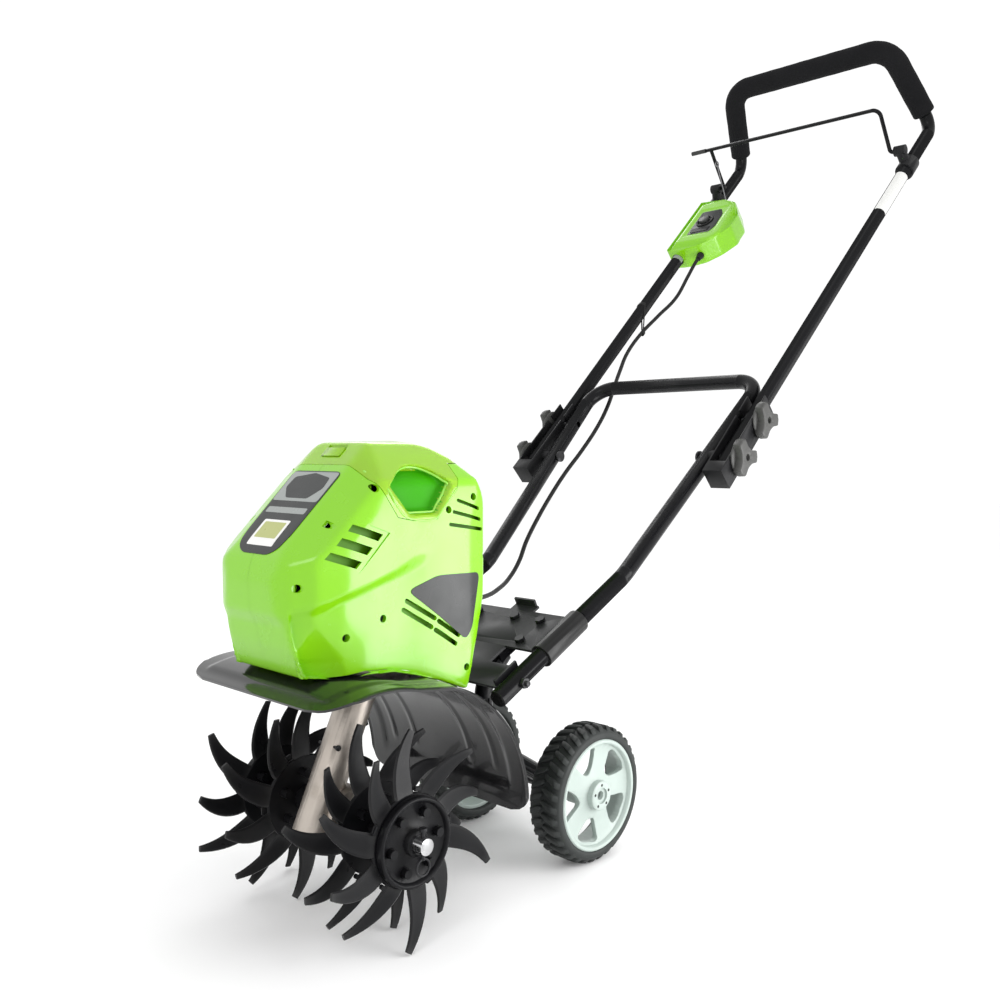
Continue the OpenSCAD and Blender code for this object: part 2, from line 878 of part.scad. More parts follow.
module hub() {
    difference() {
        union() {
            x_rod(hub_x0, hub_x1, 0, axle_z, hub_r);
            x_rod(outer_x + tine_t / 2 + eps, outer_x + tine_t / 2 + 3, 0, axle_z, 43);
            translate([outer_x + tine_t / 2 + 3 - eps, 0, axle_z]) rotate([0, 90, 0])
                difference() {
                    cylinder(h = 6, r = 43);
                    translate([0, 0, -1]) cylinder(h = 8, r = 38);
                }
        }
        x_rod(0, 200, 0, axle_z, shaft_r + 0.05);
        for (a = [0 : 60 : 300])
            translate([outer_x - 2, 0, axle_z]) rotate([a - 9 + 15, 0, 0])
                translate([0, 29, 0]) rotate([0, 90, 0]) cylinder(h = 10, r = 4.5);
    }
}

module left_hub() {
    color(black) hub();
}

module right_hub() {
    color(black) mirror([1, 0, 0]) hub();
}

module cotter_pins() {
    color(steel)
        both_sides() translate([shaft_hx - 6, 0, axle_z]) {
            cylinder(h = 28, r = 2, center = true);
            translate([0, 0, 14]) cylinder(h = 3, r = 4);
            translate([0, 0, -21]) rotate([0, 90, 0])
                rotate_extrude() translate([8, 0]) circle(r = 1.1);
        }
}

// ---------------------------------------------------------------- fold joint
fold_y = 482;
clamp_y = 533;
function line_z(y) = 328 + (y - 330) * tan(slope);
up = [0, cos(slope), sin(slope)];
upper_x = 160;
// Handle point on the left side, a distance t above the fold bolt.
function handle_pt(t, x) = [x, fold_y, line_z(fold_y)] + t * up;
clamp_t = (clamp_y - fold_y) / cos(slope);
bracket_lo = -40;
bracket_hi = 100;
bracket_x0 = 147;
bracket_x1 = 174;
// Travel of the upper handle, from the working position to folded forward.
fold_range = 120;

// Local axes at the fold bolt: x outwards, y under the tube, z up the handle.
module at_fold() {
    translate([0, fold_y, line_z(fold_y)]) rotate([slope - 90, 0, 0]) children();
}

module bracket() {
    slot_x = upper_x - tube_r - 1;
    slot_w = 2 * tube_r + 3;
    difference() {
        union() {
            at_fold() translate([bracket_x0, -15, bracket_lo])
                cube([bracket_x1 - bracket_x0, 30, bracket_hi - bracket_lo]);
            for (z = [0, clamp_t])
                at_fold() translate([tube_side(z), 0, z]) rotate([0, 90, 0])
                    cylinder(h = bracket_x0 + 1 - tube_side(z), r = 9);
        }
        // Channel for the upper tube, open towards the front, from working to folded.
        at_fold() translate([slot_x, -20, 0]) cube([slot_w, 31, 200]);
        at_fold() rotate([fold_range + 2, 0, 0]) translate([slot_x, -11, 0]) cube([slot_w, 60, 90]);
        at_fold() translate([slot_x, 0, 0]) rotate([0, 90, 0]) cylinder(h = slot_w, r = 22);
        at_fold() translate([100, 0, 0]) rotate([0, 90, 0]) cylinder(h = 100, r = 4.05);
        // Slot for the clamp bolt, open to the front.
        at_fold() translate([130, 0, 0]) rotate([0, 90, 0]) rotate([0, 0, 176])
            rotate_extrude(angle = 44) translate([clamp_t - 4.6, 0]) square([9.2, 60]);
        rod(bend_pt, corner_pt, tube_r + 0.05);
    }
}

// Outer side of the lower tube at a distance z above the fold bolt.
function lower_x(z) =
    let (along = (fold_y + z * cos(slope) - bend_pt[1]) / (corner_pt[1] - bend_pt[1]))
    leg_x + (corner_pt[0] - leg_x) * along;
function tube_side(z) = lower_x(z) + 2;

module left_bracket() {
    color(grey) bracket();
}

module right_bracket() {
    color(grey) mirror([1, 0, 0]) bracket();
}

bolt_end = 184;

module fold_bolts() {
    color(steel)
        both_sides() {
            at_fold() translate([lower_x(0) - 14, 0, 0]) rotate([0, 90, 0]) {
                cylinder(h = bolt_end - lower_x(0) + 14, r = 4);
                cylinder(h = 3, r = 8);
            }
        }
}

module clamp_bolts() {
    color(steel)
        both_sides() {
            at_fold() translate([bracket_x0 + 1.5, 0, clamp_t]) rotate([0, 90, 0])
                cylinder(h = bolt_end - bracket_x0 - 1.5, r = 4);
        }
}

// Three-lobed knob on the bolt at a distance z above the fold bolt.
module knob(z) {
    at_fold() translate([bracket_x1 + 0.4, 0, z]) rotate([0, 90, 0])
        difference() {
            union() {
                cylinder(h = 13, r = 12);
                for (a = [0 : 120 : 240])
                    rotate(a + 20) translate([6, -7, 3]) cube([17, 14, 9.5]);
            }
            translate([0, 0, -1]) cylinder(h = 11, r = 4.06);
        }
}

module knob_upper_left() {
    color(grey) knob(clamp_t);
}

module knob_lower_left() {
    color(grey) knob(0);
}

module knob_upper_right() {
    color(grey) mirror([1, 0, 0]) knob(clamp_t);
}

module knob_lower_right() {
    color(grey) mirror([1, 0, 0]) knob(0);
}

// ---------------------------------------------------------------- upper handle
upper_low = handle_pt(-15, upper_x);
upper_bend = [173.7, 1063, line_z(1063)];
grip_corner = [140, 972, grip_z];
upper_pts = [
    upper_low, upper_bend, grip_corner,
    [-grip_corner[0], grip_corner[1], grip_corner[2]],
    [-upper_bend[0], upper_bend[1], upper_bend[2]],
    [-upper_low[0], upper_low[1], upper_low[2]]
];

module upper_handle() {
    color(black)
        difference() {
            bent_tube(upper_pts, [0, 26, 40, 40, 26, 0], tube_r, tube_r - tube_wall);
            at_fold() rotate([0, 90, 0]) cylinder(h = 400, r = 4.08, center = true);
            at_fold() translate([0, 0, clamp_t]) rotate([0, 90, 0])
                cylinder(h = 400, r = 4.05, center = true);
        }
}

module foam_grip() {
    d = unit(upper_bend - grip_corner);
    ends = grip_corner + d * (norm(upper_bend - grip_corner) - 26);
    color(black)
        bent_tube(
            [
                ends, grip_corner,
                [-grip_corner[0], grip_corner[1], grip_corner[2]], [-ends[0], ends[1], ends[2]]
            ],
            [0, 40, 40, 0], grip_r, tube_r + bend_proud + eps
        );
}

// Point on the right upper tube, a distance t below the bend; x grows towards the middle.
upper_dir = unit(upper_low - upper_bend);
function right_pt(t) = let (p = upper_bend + t * upper_dir) [-p[0], p[1], p[2]];

module right_frame(t) {
    p = right_pt(t);
    q = right_pt(t + 1);
    z = unit(p - q);
    y = unit(cross(z, [1, 0, 0]));
    frame_at(p, cross(y, z), y, z) children();
}

box_outline = [
    [-18, -150], [20, -156], [60, -153], [84, -142], [92, -118], [86, -72], [62, -26], [32, -3], [-18, 4]
];

module switch_box() {
    color(green)
        right_frame(140) difference() {
            rotate([90, 0, 0]) translate([0, 0, -20]) linear_extrude(44) polygon(inset(box_outline, 0.5));
            rotate([90, 0, 0]) translate([0, 0, -17]) linear_extrude(38) polygon(inset(box_outline, 12));
            translate([0, 0, -300]) cylinder(h = 600, r = tube_r + 0.05);
            translate([28, -30, -76]) rotate([90, 0, 0]) cylinder(h = 60, r = 9.4, center = true);
            translate([44, 0, -170]) cylinder(h = 40, r = 3.1);
        }
}

module start_button() {
    color(black)
        right_frame(140) translate([28, -12, -76]) rotate([90, 0, 0]) {
            cylinder(h = 16, r = 9);
            translate([0, 0, 5.5]) cylinder(h = 3, r = 12);
        }
}

// ---------------------------------------------------------------- bail
bail_pivot = [962, 943];
bail_top = [918, 1000];
bail_r = 3;

module bail() {
    pts = [
        [160, bail_pivot[0], bail_pivot[1]], [150, bail_pivot[0], bail_pivot[1]],
        [150, bail_top[0], bail_top[1]],
        [-188, bail_top[0], bail_top[1]]
    ];
    color(black) {
        bent_rod(pts, [0, 5, 12, 0], bail_r);
        rod([-150, bail_top[0], bail_top[1]], [-150, bail_pivot[0], bail_pivot[1]], bail_r);
        x_rod(-163, -147, bail_pivot[0], bail_pivot[1], bail_r);
    }
}

function flip(p, s) = [s * p[0], p[1], p[2]];

module bail_block_side(s) {
    p = flip(upper_bend + 120 * upper_dir, s);
    difference() {
        union() {
            rod(p - flip(14 * upper_dir, s), p + flip(14 * upper_dir, s), tube_r + 4);
            rod(p, [s * 166, bail_pivot[0], bail_pivot[1]], 8);
            x_rod(s > 0 ? 157 : -174, s > 0 ? 174 : -157, bail_pivot[0], bail_pivot[1], 8);
        }
        rod(flip(upper_low, s), flip(upper_bend, s), tube_r + 0.03);
        x_rod(s > 0 ? 150 : -164, s > 0 ? 164 : -150, bail_pivot[0], bail_pivot[1], bail_r + 0.06);
    }
}

module bail_block() {
    color(black) {
        bail_block_side(1);
        bail_block_side(-1);
    }
}

// ---------------------------------------------------------------- cable
cable_r = 3;
cable_upper_route = [
    [-124.9, 857.2, 811], [-124.7, 846.1, 800.9], [-124.5, 835, 790.8], [-128, 818, 766], [-138, 800, 731],
    [-146, 760, 697], [-150, 715, 662], [-149, 680, 630], [-140, 650, 600], [-134, 634, 585]
];
cable_lower_route = [
    [-134, 633, 584], [-128, 620, 572], [-118, 592, 543], [-112, 560, 511], [-110, 522, 476],
    [-110, 484, 443], [-110, 455, 414], [-110, 425, 380], [-108, 400, 350],
    [-102, 380, 326], [-92, 350, 306], [-78, 315, 296], [-62, 275, 292], [-46, 235, 296],
    [-34, 200, 306], [-28, 170, 318], [-26, 150, 325], [-26, 137, 328]
];

function tangent(p, i) = unit(p[min(i + 1, len(p) - 1)] - p[max(i - 1, 0)]);

module swept_tube(p, r) {
    sides = 10;
    pts = [
        for (i = [0 : len(p) - 1])
            let (
                t = tangent(p, i),
                u = unit(cross(t, [1, 0, 0])),
                v = cross(t, u)
            )
            for (k = [0 : sides - 1]) p[i] + r * (cos(k * 36) * u + sin(k * 36) * v)
    ];
    walls = [
        for (i = [0 : len(p) - 2], k = [0 : sides - 1])
            let (n = (k + 1) % sides)
            [i * sides + k, i * sides + n, (i + 1) * sides + n, (i + 1) * sides + k]
    ];
    start = [[for (k = [sides - 1 : -1 : 0]) k]];
    end = [[for (k = [0 : sides - 1]) (len(p) - 1) * sides + k]];
    polyhedron(points = pts, faces = concat(walls, start, end), convexity = 4);
}

module cable_upper() {
    color(black) swept_tube(cable_upper_route, cable_r);
}

module cable_lower() {
    color(black) swept_tube(cable_lower_route, cable_r);
}

// ---------------------------------------------------------------- assembly
housing_left();
housing_right();
housing_screws();
front_label();
side_badges();
battery_lid();
lid_hinge_pin();
lid_latch();
battery_pack();
battery_tray();
terminal_block();
battery_release();
controller();
motor_can();
motor_end_plate();
armature();
cooling_fan();
worm_shaft();
drive_bearings();
worm_wheel();
gear_case_left();
gear_case_right();
gear_case_screws();
tine_shaft();
shaft_bushes();
left_hub();
right_hub();
left_outer_tine();
left_inner_tine();
right_inner_tine();
right_outer_tine();
cotter_pins();
fender();
chassis();
cross_plate();
plate_bolts();
leg_sleeves();
lower_handle();
wheel_frame();
wheel_axle();
left_rim();
left_tyre();
right_rim();
right_tyre();
left_bracket();
right_bracket();
fold_bolts();
clamp_bolts();
knob_upper_left();
knob_lower_left();
knob_upper_right();
knob_lower_right();
upper_handle();
foam_grip();
switch_box();
start_button();
bail();
bail_block();
cable_upper();
cable_lower();
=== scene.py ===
import bpy
import bmesh
import json
import math
from mathutils import Matrix, Vector
from mathutils.bvhtree import BVHTree


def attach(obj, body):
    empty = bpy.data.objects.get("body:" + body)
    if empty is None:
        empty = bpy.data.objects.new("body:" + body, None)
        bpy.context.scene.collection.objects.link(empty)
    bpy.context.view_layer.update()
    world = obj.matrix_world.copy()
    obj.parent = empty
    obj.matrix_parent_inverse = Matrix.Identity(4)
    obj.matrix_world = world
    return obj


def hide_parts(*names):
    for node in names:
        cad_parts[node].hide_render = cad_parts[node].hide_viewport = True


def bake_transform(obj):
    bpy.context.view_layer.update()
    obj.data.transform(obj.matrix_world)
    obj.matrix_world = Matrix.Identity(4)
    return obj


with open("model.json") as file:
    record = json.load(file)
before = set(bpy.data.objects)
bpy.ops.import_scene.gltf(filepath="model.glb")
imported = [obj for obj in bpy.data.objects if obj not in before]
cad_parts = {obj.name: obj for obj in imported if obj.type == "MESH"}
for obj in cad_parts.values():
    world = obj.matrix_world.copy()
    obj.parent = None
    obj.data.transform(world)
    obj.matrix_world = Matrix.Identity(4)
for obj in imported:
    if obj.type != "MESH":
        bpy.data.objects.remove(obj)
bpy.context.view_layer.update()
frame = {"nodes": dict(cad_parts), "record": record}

# Lengths below are in millimetres, as in the CAD; MM turns them into metres.
MM = 0.001
NODES = frame["nodes"]
BODY_OF = {n: b for b, names in frame["record"]["behaviour"]["bodies"].items() for n in names}
rad = math.radians


# ---------------------------------------------------------------- camera, floor, light
def build_studio():
    cam = bpy.data.cameras.new("camera")
    cam.lens = 36.196
    cam.sensor_width = 36.0
    cam.clip_end = 50
    co = bpy.data.objects.new("camera", cam)
    bpy.context.scene.collection.objects.link(co)
    az, el = rad(44.338), rad(2.838)
    look = Vector((-math.sin(az) * math.cos(el), math.cos(az) * math.cos(el), -math.sin(el)))
    co.location = Vector((832.8, -614.4, 476.2)) * MM
    co.rotation_euler = look.to_track_quat("-Z", "Y").to_euler()
    bpy.context.scene.camera = co

    bm = bmesh.new()
    bmesh.ops.create_grid(bm, x_segments=2, y_segments=2, size=9)
    me = bpy.data.meshes.new("floor")
    bm.to_mesh(me)
    floor = bpy.data.objects.new("floor", me)
    floor.location = (0, 0, -0.0005)
    bpy.context.scene.collection.objects.link(floor)
    me.materials.append(surface("floor_paper", (0.95, 0.95, 0.95), rough=0.85, mottle=0.01, bump=0.02))

    world = bpy.data.worlds.new("studio")
    world.use_nodes = True
    world.node_tree.nodes["Background"].inputs[0].default_value = (1, 1, 1, 1)
    world.node_tree.nodes["Background"].inputs[1].default_value = 1.06
    bpy.context.scene.world = world
    bpy.context.scene.view_settings.view_transform = "Standard"

    def area(name, place, target, size, power):
        light = bpy.data.lights.new(name, "AREA")
        light.shape = "RECTANGLE"
        light.size, light.size_y = size
        light.energy = power
        o = bpy.data.objects.new(name, light)
        o.location = place
        o.rotation_euler = (Vector(target) - Vector(place)).to_track_quat("-Z", "Y").to_euler()
        bpy.context.scene.collection.objects.link(o)

    area("key", (0.6, -2.2, 2.2), (0, 0.1, 0.4), (1.2, 1.2), 14)
    area("flank", (0.75, 0.53, 0.30), (0.088, 0.02, 0.36), (0.62, 0.55), 6.5)
    area("back", (-1.8, 2.0, 2.0), (0, 0.3, 0.5), (2.0, 1.0), 14)


# ---------------------------------------------------------------- materials
def surface(name, colour, rough=0.4, metal=0.0, coat=0.0, mottle=0.08, mottle_scale=14.0,
            bump=0.08, bump_scale=600.0, bump_mm=0.15, transmission=0.0, wear=None, dust=None, cells=False,
            spec=0.5):
    """A procedural material: mottled colour, uneven gloss, fine bump, worn edges, dust in patches."""
    m = bpy.data.materials.new(name)
    m.use_nodes = True
    tree = m.node_tree
    tree.nodes.clear()
    new, link = tree.nodes.new, tree.links.new
    out = new("ShaderNodeOutputMaterial")
    b = new("ShaderNodeBsdfPrincipled")
    link(b.outputs[0], out.inputs[0])
    b.inputs["Metallic"].default_value = metal
    b.inputs["Coat Weight"].default_value = coat
    b.inputs["Coat Roughness"].default_value = 0.04
    b.inputs["Transmission Weight"].default_value = transmission
    b.inputs["IOR"].default_value = 1.49
    b.inputs["Specular IOR Level"].default_value = spec
    place = new("ShaderNodeTexCoord")

    def noise(scale, detail=3.0):
        n = new("ShaderNodeTexNoise")
        n.inputs["Scale"].default_value = scale
        n.inputs["Detail"].default_value = detail
        link(place.outputs["Object"], n.inputs["Vector"])
        return n

    def mixed(factor, a, c):
        n = new("ShaderNodeMix")
        n.data_type = "RGBA"
        link(factor, n.inputs[0])
        for socket, value in ((n.inputs[6], a), (n.inputs[7], c)):
            if isinstance(value, tuple):
                socket.default_value = (*value, 1)
            else:
                link(value, socket)
        return n.outputs[2]

    def ranged(value, low, high, to_low, to_high):
        n = new("ShaderNodeMapRange")
        n.inputs[1].default_value = low
        n.inputs[2].default_value = high
        n.inputs[3].default_value = to_low
        n.inputs[4].default_value = to_high
        link(value, n.inputs[0])
        return n.outputs[0]

    broad = noise(mottle_scale)
    dark = tuple(c * (1 - mottle) for c in colour)
    light = tuple(min(1.0, c * (1 + mottle) + 0.002) for c in colour)
    base = mixed(broad.outputs[0], dark, light)
    uneven = noise(mottle_scale * 2.3, 5).outputs[0]
    gloss = ranged(uneven, 0.3, 0.7, max(0.03, rough - 0.08), rough + 0.08)
    if dust:
        patch = ranged(noise(mottle_scale * 1.7, 6).outputs[0], 0.55, 0.75, 0.0, dust[1])
        base = mixed(patch, base, dust[0])
    if wear:
        geo = new("ShaderNodeNewGeometry")
        edge = ranged(geo.outputs["Pointiness"], 0.53, 0.60, 0.0, wear[1])
        base = mixed(edge, base, wear[0])
    link(base, b.inputs["Base Color"])
    link(gloss, b.inputs["Roughness"])
    if cells:
        fine = new("ShaderNodeTexVoronoi")
        fine.inputs["Scale"].default_value = bump_scale
        link(place.outputs["Object"], fine.inputs["Vector"])
    else:
        fine = noise(bump_scale, 4)
    bn = new("ShaderNodeBump")
    bn.inputs["Strength"].default_value = bump
    bn.inputs["Distance"].default_value = bump_mm * MM
    link(fine.outputs[0], bn.inputs["Height"])
    link(bn.outputs[0], b.inputs["Normal"])
    return m


GREEN = (0.21, 0.55, 0.002)
STEEL = (0.55, 0.55, 0.56)
SOIL = (0.16, 0.12, 0.08)
M = {
    "green": surface("green_moulding", GREEN, 0.24, coat=0.2, mottle=0.03, bump=0.03, bump_scale=900,
                     spec=0.55),
    # A darker copy of the moulding green for recesses: painted shade.
    "green_dark": surface("green_recess_shade", (0.05, 0.16, 0.002), 0.45, bump=0.05, spec=0.2),
    # A darker copy of the moulding green for the baffles behind the vents: painted shade inside the vents.
    "green_shade": surface("green_baffle_shade", (0.08, 0.24, 0.002), 0.45, bump=0.05, spec=0.2),
    "lid": surface("tinted_lid", (0.42, 0.78, 0.02), 0.10, coat=0.2, mottle=0.03, bump=0.02,
                   transmission=0.45, spec=0.4),
    # Darker, opaque green for the lid's finger pocket: the lid's own tint with painted shade of the deep
    # pocket.
    "pocket": surface("tinted_pocket_shade", (0.035, 0.32, 0.001), 0.42, mottle=0.12, bump=0.02, spec=0.1),
    "fender": surface("black_gloss_plastic", (0.010, 0.010, 0.011), 0.18, coat=0.25, mottle=0.1, bump=0.03,
                      dust=((0.03, 0.03, 0.029), 0.3), spec=0.4),
    "paint": surface("black_powder_coat", (0.005, 0.005, 0.006), 0.28, mottle=0.1, bump=0.10,
                     bump_scale=1400, bump_mm=0.05, spec=0.14),
    "tine": surface("tine_paint", (0.006, 0.006, 0.007), 0.34, mottle=0.2, bump=0.12, bump_scale=500,
                    wear=((0.05, 0.05, 0.05), 0.5), dust=((0.014, 0.013, 0.012), 0.4), spec=0.14),
    "plate": surface("grey_powder_coat", (0.018, 0.018, 0.020), 0.45, bump=0.15, bump_scale=1100,
                     bump_mm=0.06, spec=0.2),
    "grey": surface("grey_moulding", (0.006, 0.006, 0.007), 0.50, mottle=0.07, bump=0.16, bump_scale=1300,
                    bump_mm=0.06, spec=0.25),
    "black": surface("black_moulding", (0.008, 0.008, 0.008), 0.34, bump=0.06, spec=0.25),
    "pack": surface("pack_moulding", (0.02, 0.02, 0.021), 0.55, bump=0.2, bump_scale=1500, bump_mm=0.08),
    "cast": surface("cast_aluminium", (0.50, 0.45, 0.40), 0.40, metal=0.85, mottle=0.16, mottle_scale=30,
                    bump=0.35, bump_scale=420, bump_mm=0.4, dust=(SOIL, 0.25)),
    "steel": surface("turned_steel", STEEL, 0.28, metal=1.0, bump=0.06, bump_scale=900),
    "bolt": surface("blackened_steel", (0.025, 0.025, 0.027), 0.38, metal=0.5, mottle=0.15, bump=0.08,
                    spec=0.3),
    "bronze": surface("bronze", (0.45, 0.28, 0.10), 0.35, metal=1.0, mottle=0.12, bump=0.05),
    "copper": surface("windings", (0.50, 0.22, 0.08), 0.38, metal=0.8, mottle=0.2, bump=0.3,
                      bump_scale=800),
    "rim": surface("rim_moulding", (0.38, 0.44, 0.41), 0.36, mottle=0.03, bump=0.05, bump_scale=900,
                   spec=0.4),
    "tyre": surface("tyre_compound", (0.022, 0.025, 0.024), 0.60, mottle=0.15, bump=0.25, bump_scale=700,
                    dust=((0.035, 0.034, 0.03), 0.3), spec=0.3),
    "foam": surface("grip_foam", (0.008, 0.008, 0.009), 0.85, mottle=0.12, bump=0.7, bump_scale=1500,
                    bump_mm=0.25, cells=True, spec=0.12),
    "board": surface("circuit_board", (0.01, 0.09, 0.03), 0.4, mottle=0.2, bump=0.1),
    "label_dark": surface("label_dark", (0.028, 0.030, 0.030), 0.30, mottle=0.06, bump=0.03, spec=0.3),
    "label_light": surface("label_light", (0.30, 0.32, 0.31), 0.26, mottle=0.06, bump=0.03, spec=0.3),
    "label_white": surface("label_white", (0.80, 0.80, 0.78), 0.35, mottle=0.03, bump=0.02),
    "label_red": surface("label_red", (0.45, 0.02, 0.02), 0.35, mottle=0.05, bump=0.02),
    "cable": surface("cable_sheath", (0.008, 0.008, 0.008), 0.42, mottle=0.1, bump=0.1, bump_scale=1200,
                     spec=0.25),
    "label_olive": surface("label_olive", (0.42, 0.45, 0.16), 0.35, mottle=0.06, bump=0.02),
    "lid_rim": surface("lid_rim", (0.40, 0.90, 0.10), 0.12, coat=0.2, mottle=0.03, bump=0.02,
                       transmission=0.3),
    "knob": surface("knob_moulding", (0.060, 0.060, 0.058), 0.42, bump=0.14, bump_scale=1300,
                    bump_mm=0.06, spec=0.3),
    "button": surface("button_moulding", (0.018, 0.018, 0.018), 0.4, bump=0.1, bump_scale=1200),
    "grip_sleeve": surface("rod_sleeve", (0.02, 0.02, 0.02), 0.5, bump=0.1),
    "wire": surface("drawn_wire", (0.25, 0.25, 0.26), 0.30, metal=1.0, mottle=0.1, bump=0.05),
}


# ---------------------------------------------------------------- mesh helpers
def link_mesh(name, me, material, smooth_angle=32):
    o = bpy.data.objects.new(name, me)
    bpy.context.scene.collection.objects.link(o)
    me.materials.clear()
    me.materials.append(M[material])
    me.shade_smooth()
    me.set_sharp_from_angle(angle=rad(smooth_angle))
    return o


def from_bm(name, bm, material, smooth_angle=32):
    bmesh.ops.recalc_face_normals(bm, faces=bm.faces)
    me = bpy.data.meshes.new(name)
    bm.to_mesh(me)
    bm.free()
    return link_mesh(name, me, material, smooth_angle)


def from_lists(name, verts, faces, material, smooth_angle=32):
    me = bpy.data.meshes.new(name)
    me.from_pydata([Vector(v) * MM for v in verts], [], faces)
    me.validate()
    bm = bmesh.new()
    bm.from_mesh(me)
    return from_bm(name, bm, material, smooth_angle)


def applied(o, smooth_angle=32):
    """Bakes the object's modifiers into its mesh."""
    deps = bpy.context.evaluated_depsgraph_get()
    me = bpy.data.meshes.new_from_object(o.evaluated_get(deps))
    o.modifiers.clear()
    o.data = me
    me.shade_smooth()
    me.set_sharp_from_angle(angle=rad(smooth_angle))
    return o


def bevel(o, width, segments=2, angle=32, smooth_angle=35):
    """Rounds the edges that are sharper than angle."""
    mod = o.modifiers.new("edges", "BEVEL")
    mod.width = width * MM
    mod.segments = segments
    mod.limit_method = "ANGLE"
    mod.angle_limit = rad(angle)
    mod.use_clamp_overlap = True
    mod.harden_normals = True
    return applied(o, smooth_angle)


def remeshed(o, size):
    mod = o.modifiers.new("voxels", "REMESH")
    mod.mode = "VOXEL"
    mod.voxel_size = size * MM
    return applied(o)


def softened(o, factor, iterations, smooth_angle=32):
    mod = o.modifiers.new("soften", "SMOOTH")
    mod.factor = factor
    mod.iterations = iterations
    return applied(o, smooth_angle)


def boolean(o, other, kind="DIFFERENCE", solver="MANIFOLD"):
    mod = o.modifiers.new("cut", "BOOLEAN")
    mod.operation = kind
    mod.solver = solver
    mod.object = other
    applied(o)
    bpy.data.objects.remove(other)
    return o


def place(o, body, slot, *stands_for):
    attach(o, body)
    if stands_for:
        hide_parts(*stands_for)
    return o


def every(bm):
    return bm.verts[:] + bm.edges[:] + bm.faces[:]


def join(objects):
    bm = bmesh.new()
    for o in objects:
        bm.from_mesh(o.data)
    first = objects[0]
    for o in objects[1:]:
        bpy.data.objects.remove(o)
    bm.to_mesh(first.data)
    bm.free()
    first.data.shade_smooth()
    first.data.set_sharp_from_angle(angle=rad(32))
    return first


def stitch(bm, rows, caps=True):
    """Faces between closed rows of vertices, and over the two end rows."""
    n = len(rows[0])
    for p, q in zip(rows, rows[1:]):
        for k in range(n):
            bm.faces.new((p[k], p[(k + 1) % n], q[(k + 1) % n], q[k]))
    if caps:
        bm.faces.new(rows[0])
        bm.faces.new(rows[-1])


def prism(name, outline, axis, low, high, material="green"):
    """Outline drawn out along an axis: 'x' takes (Y, Z) points, 'y' takes (X, Z), 'z' takes (X, Y)."""
    put = {"x": lambda u, v, h: (h, u, v), "y": lambda u, v, h: (u, h, v),
           "z": lambda u, v, h: (u, v, h)}[axis]
    bm = bmesh.new()
    stitch(bm, [[bm.verts.new(Vector(put(u, v, h)) * MM) for u, v in outline] for h in (low, high)])
    return from_bm(name, bm, material)


def cylinder(name, a, b, r, material, segments=32):
    a, b = Vector(a), Vector(b)
    bm = bmesh.new()
    m = Matrix.Translation((a + b) / 2 * MM) @ (b - a).to_track_quat("Z", "Y").to_matrix().to_4x4()
    bmesh.ops.create_cone(bm, cap_ends=True, segments=segments, radius1=r * MM, radius2=r * MM,
                          depth=(b - a).length * MM, matrix=m)
    return from_bm(name, bm, material)


def lathe(name, profile, centre, axis, material, segments=72):
    """Turns a closed (radius, distance along the axis) profile round an axis."""
    q = Vector(axis).to_track_quat("Z", "Y").to_matrix()
    bm = bmesh.new()
    rows = []
    for k in range(segments):
        t = 2 * math.pi * k / segments
        rows.append([bm.verts.new((Vector(centre) + q @ Vector((r * math.cos(t), r * math.sin(t), h))) * MM)
                     for r, h in profile])
    stitch(bm, rows + rows[:1], caps=False)
    return from_bm(name, bm, material)


def tube(name, points, r, material, resolution=10, cyclic=False):
    """A round tube along a smooth curve through the points, as a mesh."""
    c = bpy.data.curves.new(name, "CURVE")
    c.dimensions = "3D"
    c.bevel_depth = r * MM
    c.bevel_resolution = 4
    c.resolution_u = resolution
    c.use_fill_caps = True
    s = c.splines.new("BEZIER")
    s.bezier_points.add(len(points) - 1)
    for bp, p in zip(s.bezier_points, points):
        bp.co = Vector(p) * MM
        bp.handle_left_type = bp.handle_right_type = "AUTO"
    s.use_cyclic_u = cyclic
    tmp = bpy.data.objects.new(name, c)
    bpy.context.scene.collection.objects.link(tmp)
    me = bpy.data.meshes.new_from_object(tmp.evaluated_get(bpy.context.evaluated_depsgraph_get()))
    bpy.data.objects.remove(tmp)
    return link_mesh(name, me, material)


def refine(node, material, width=0.6, segments=2, smooth_angle=32):
    """The CAD node again with rounded edges, standing for it."""
    bm = bmesh.new()
    bm.from_mesh(NODES[node].data)
    bmesh.ops.remove_doubles(bm, verts=bm.verts, dist=2e-6)
    if width:
        bmesh.ops.dissolve_limit(bm, angle_limit=rad(0.4), verts=bm.verts, edges=bm.edges)
    o = from_bm(node + "_look", bm, material, smooth_angle)
    if width:
        bevel(o, width, segments, smooth_angle=smooth_angle)
    place(o, BODY_OF[node], slot_of(node), node)
    return o


def slot_of(node):
    return next(s["material_slot"] for s in frame["record"]["subparts"] if s["node"] == node)


build_studio()


# ---------------------------------------------------------------- housing and lid
def inset(points, d):
    """An outline that runs counter-clockwise, moved inwards by d."""
    out = []
    n = len(points)
    for i in range(n):
        a, b, c = (Vector(points[(i + k) % n]) for k in (-1, 0, 1))
        e1, e2 = (b - a).normalized(), (c - b).normalized()
        n1, n2 = Vector((e1.y, -e1.x)), Vector((e2.y, -e2.x))
        out.append(tuple(b - d * (n1 + n2) / (1 + n1.dot(n2))))
    return out


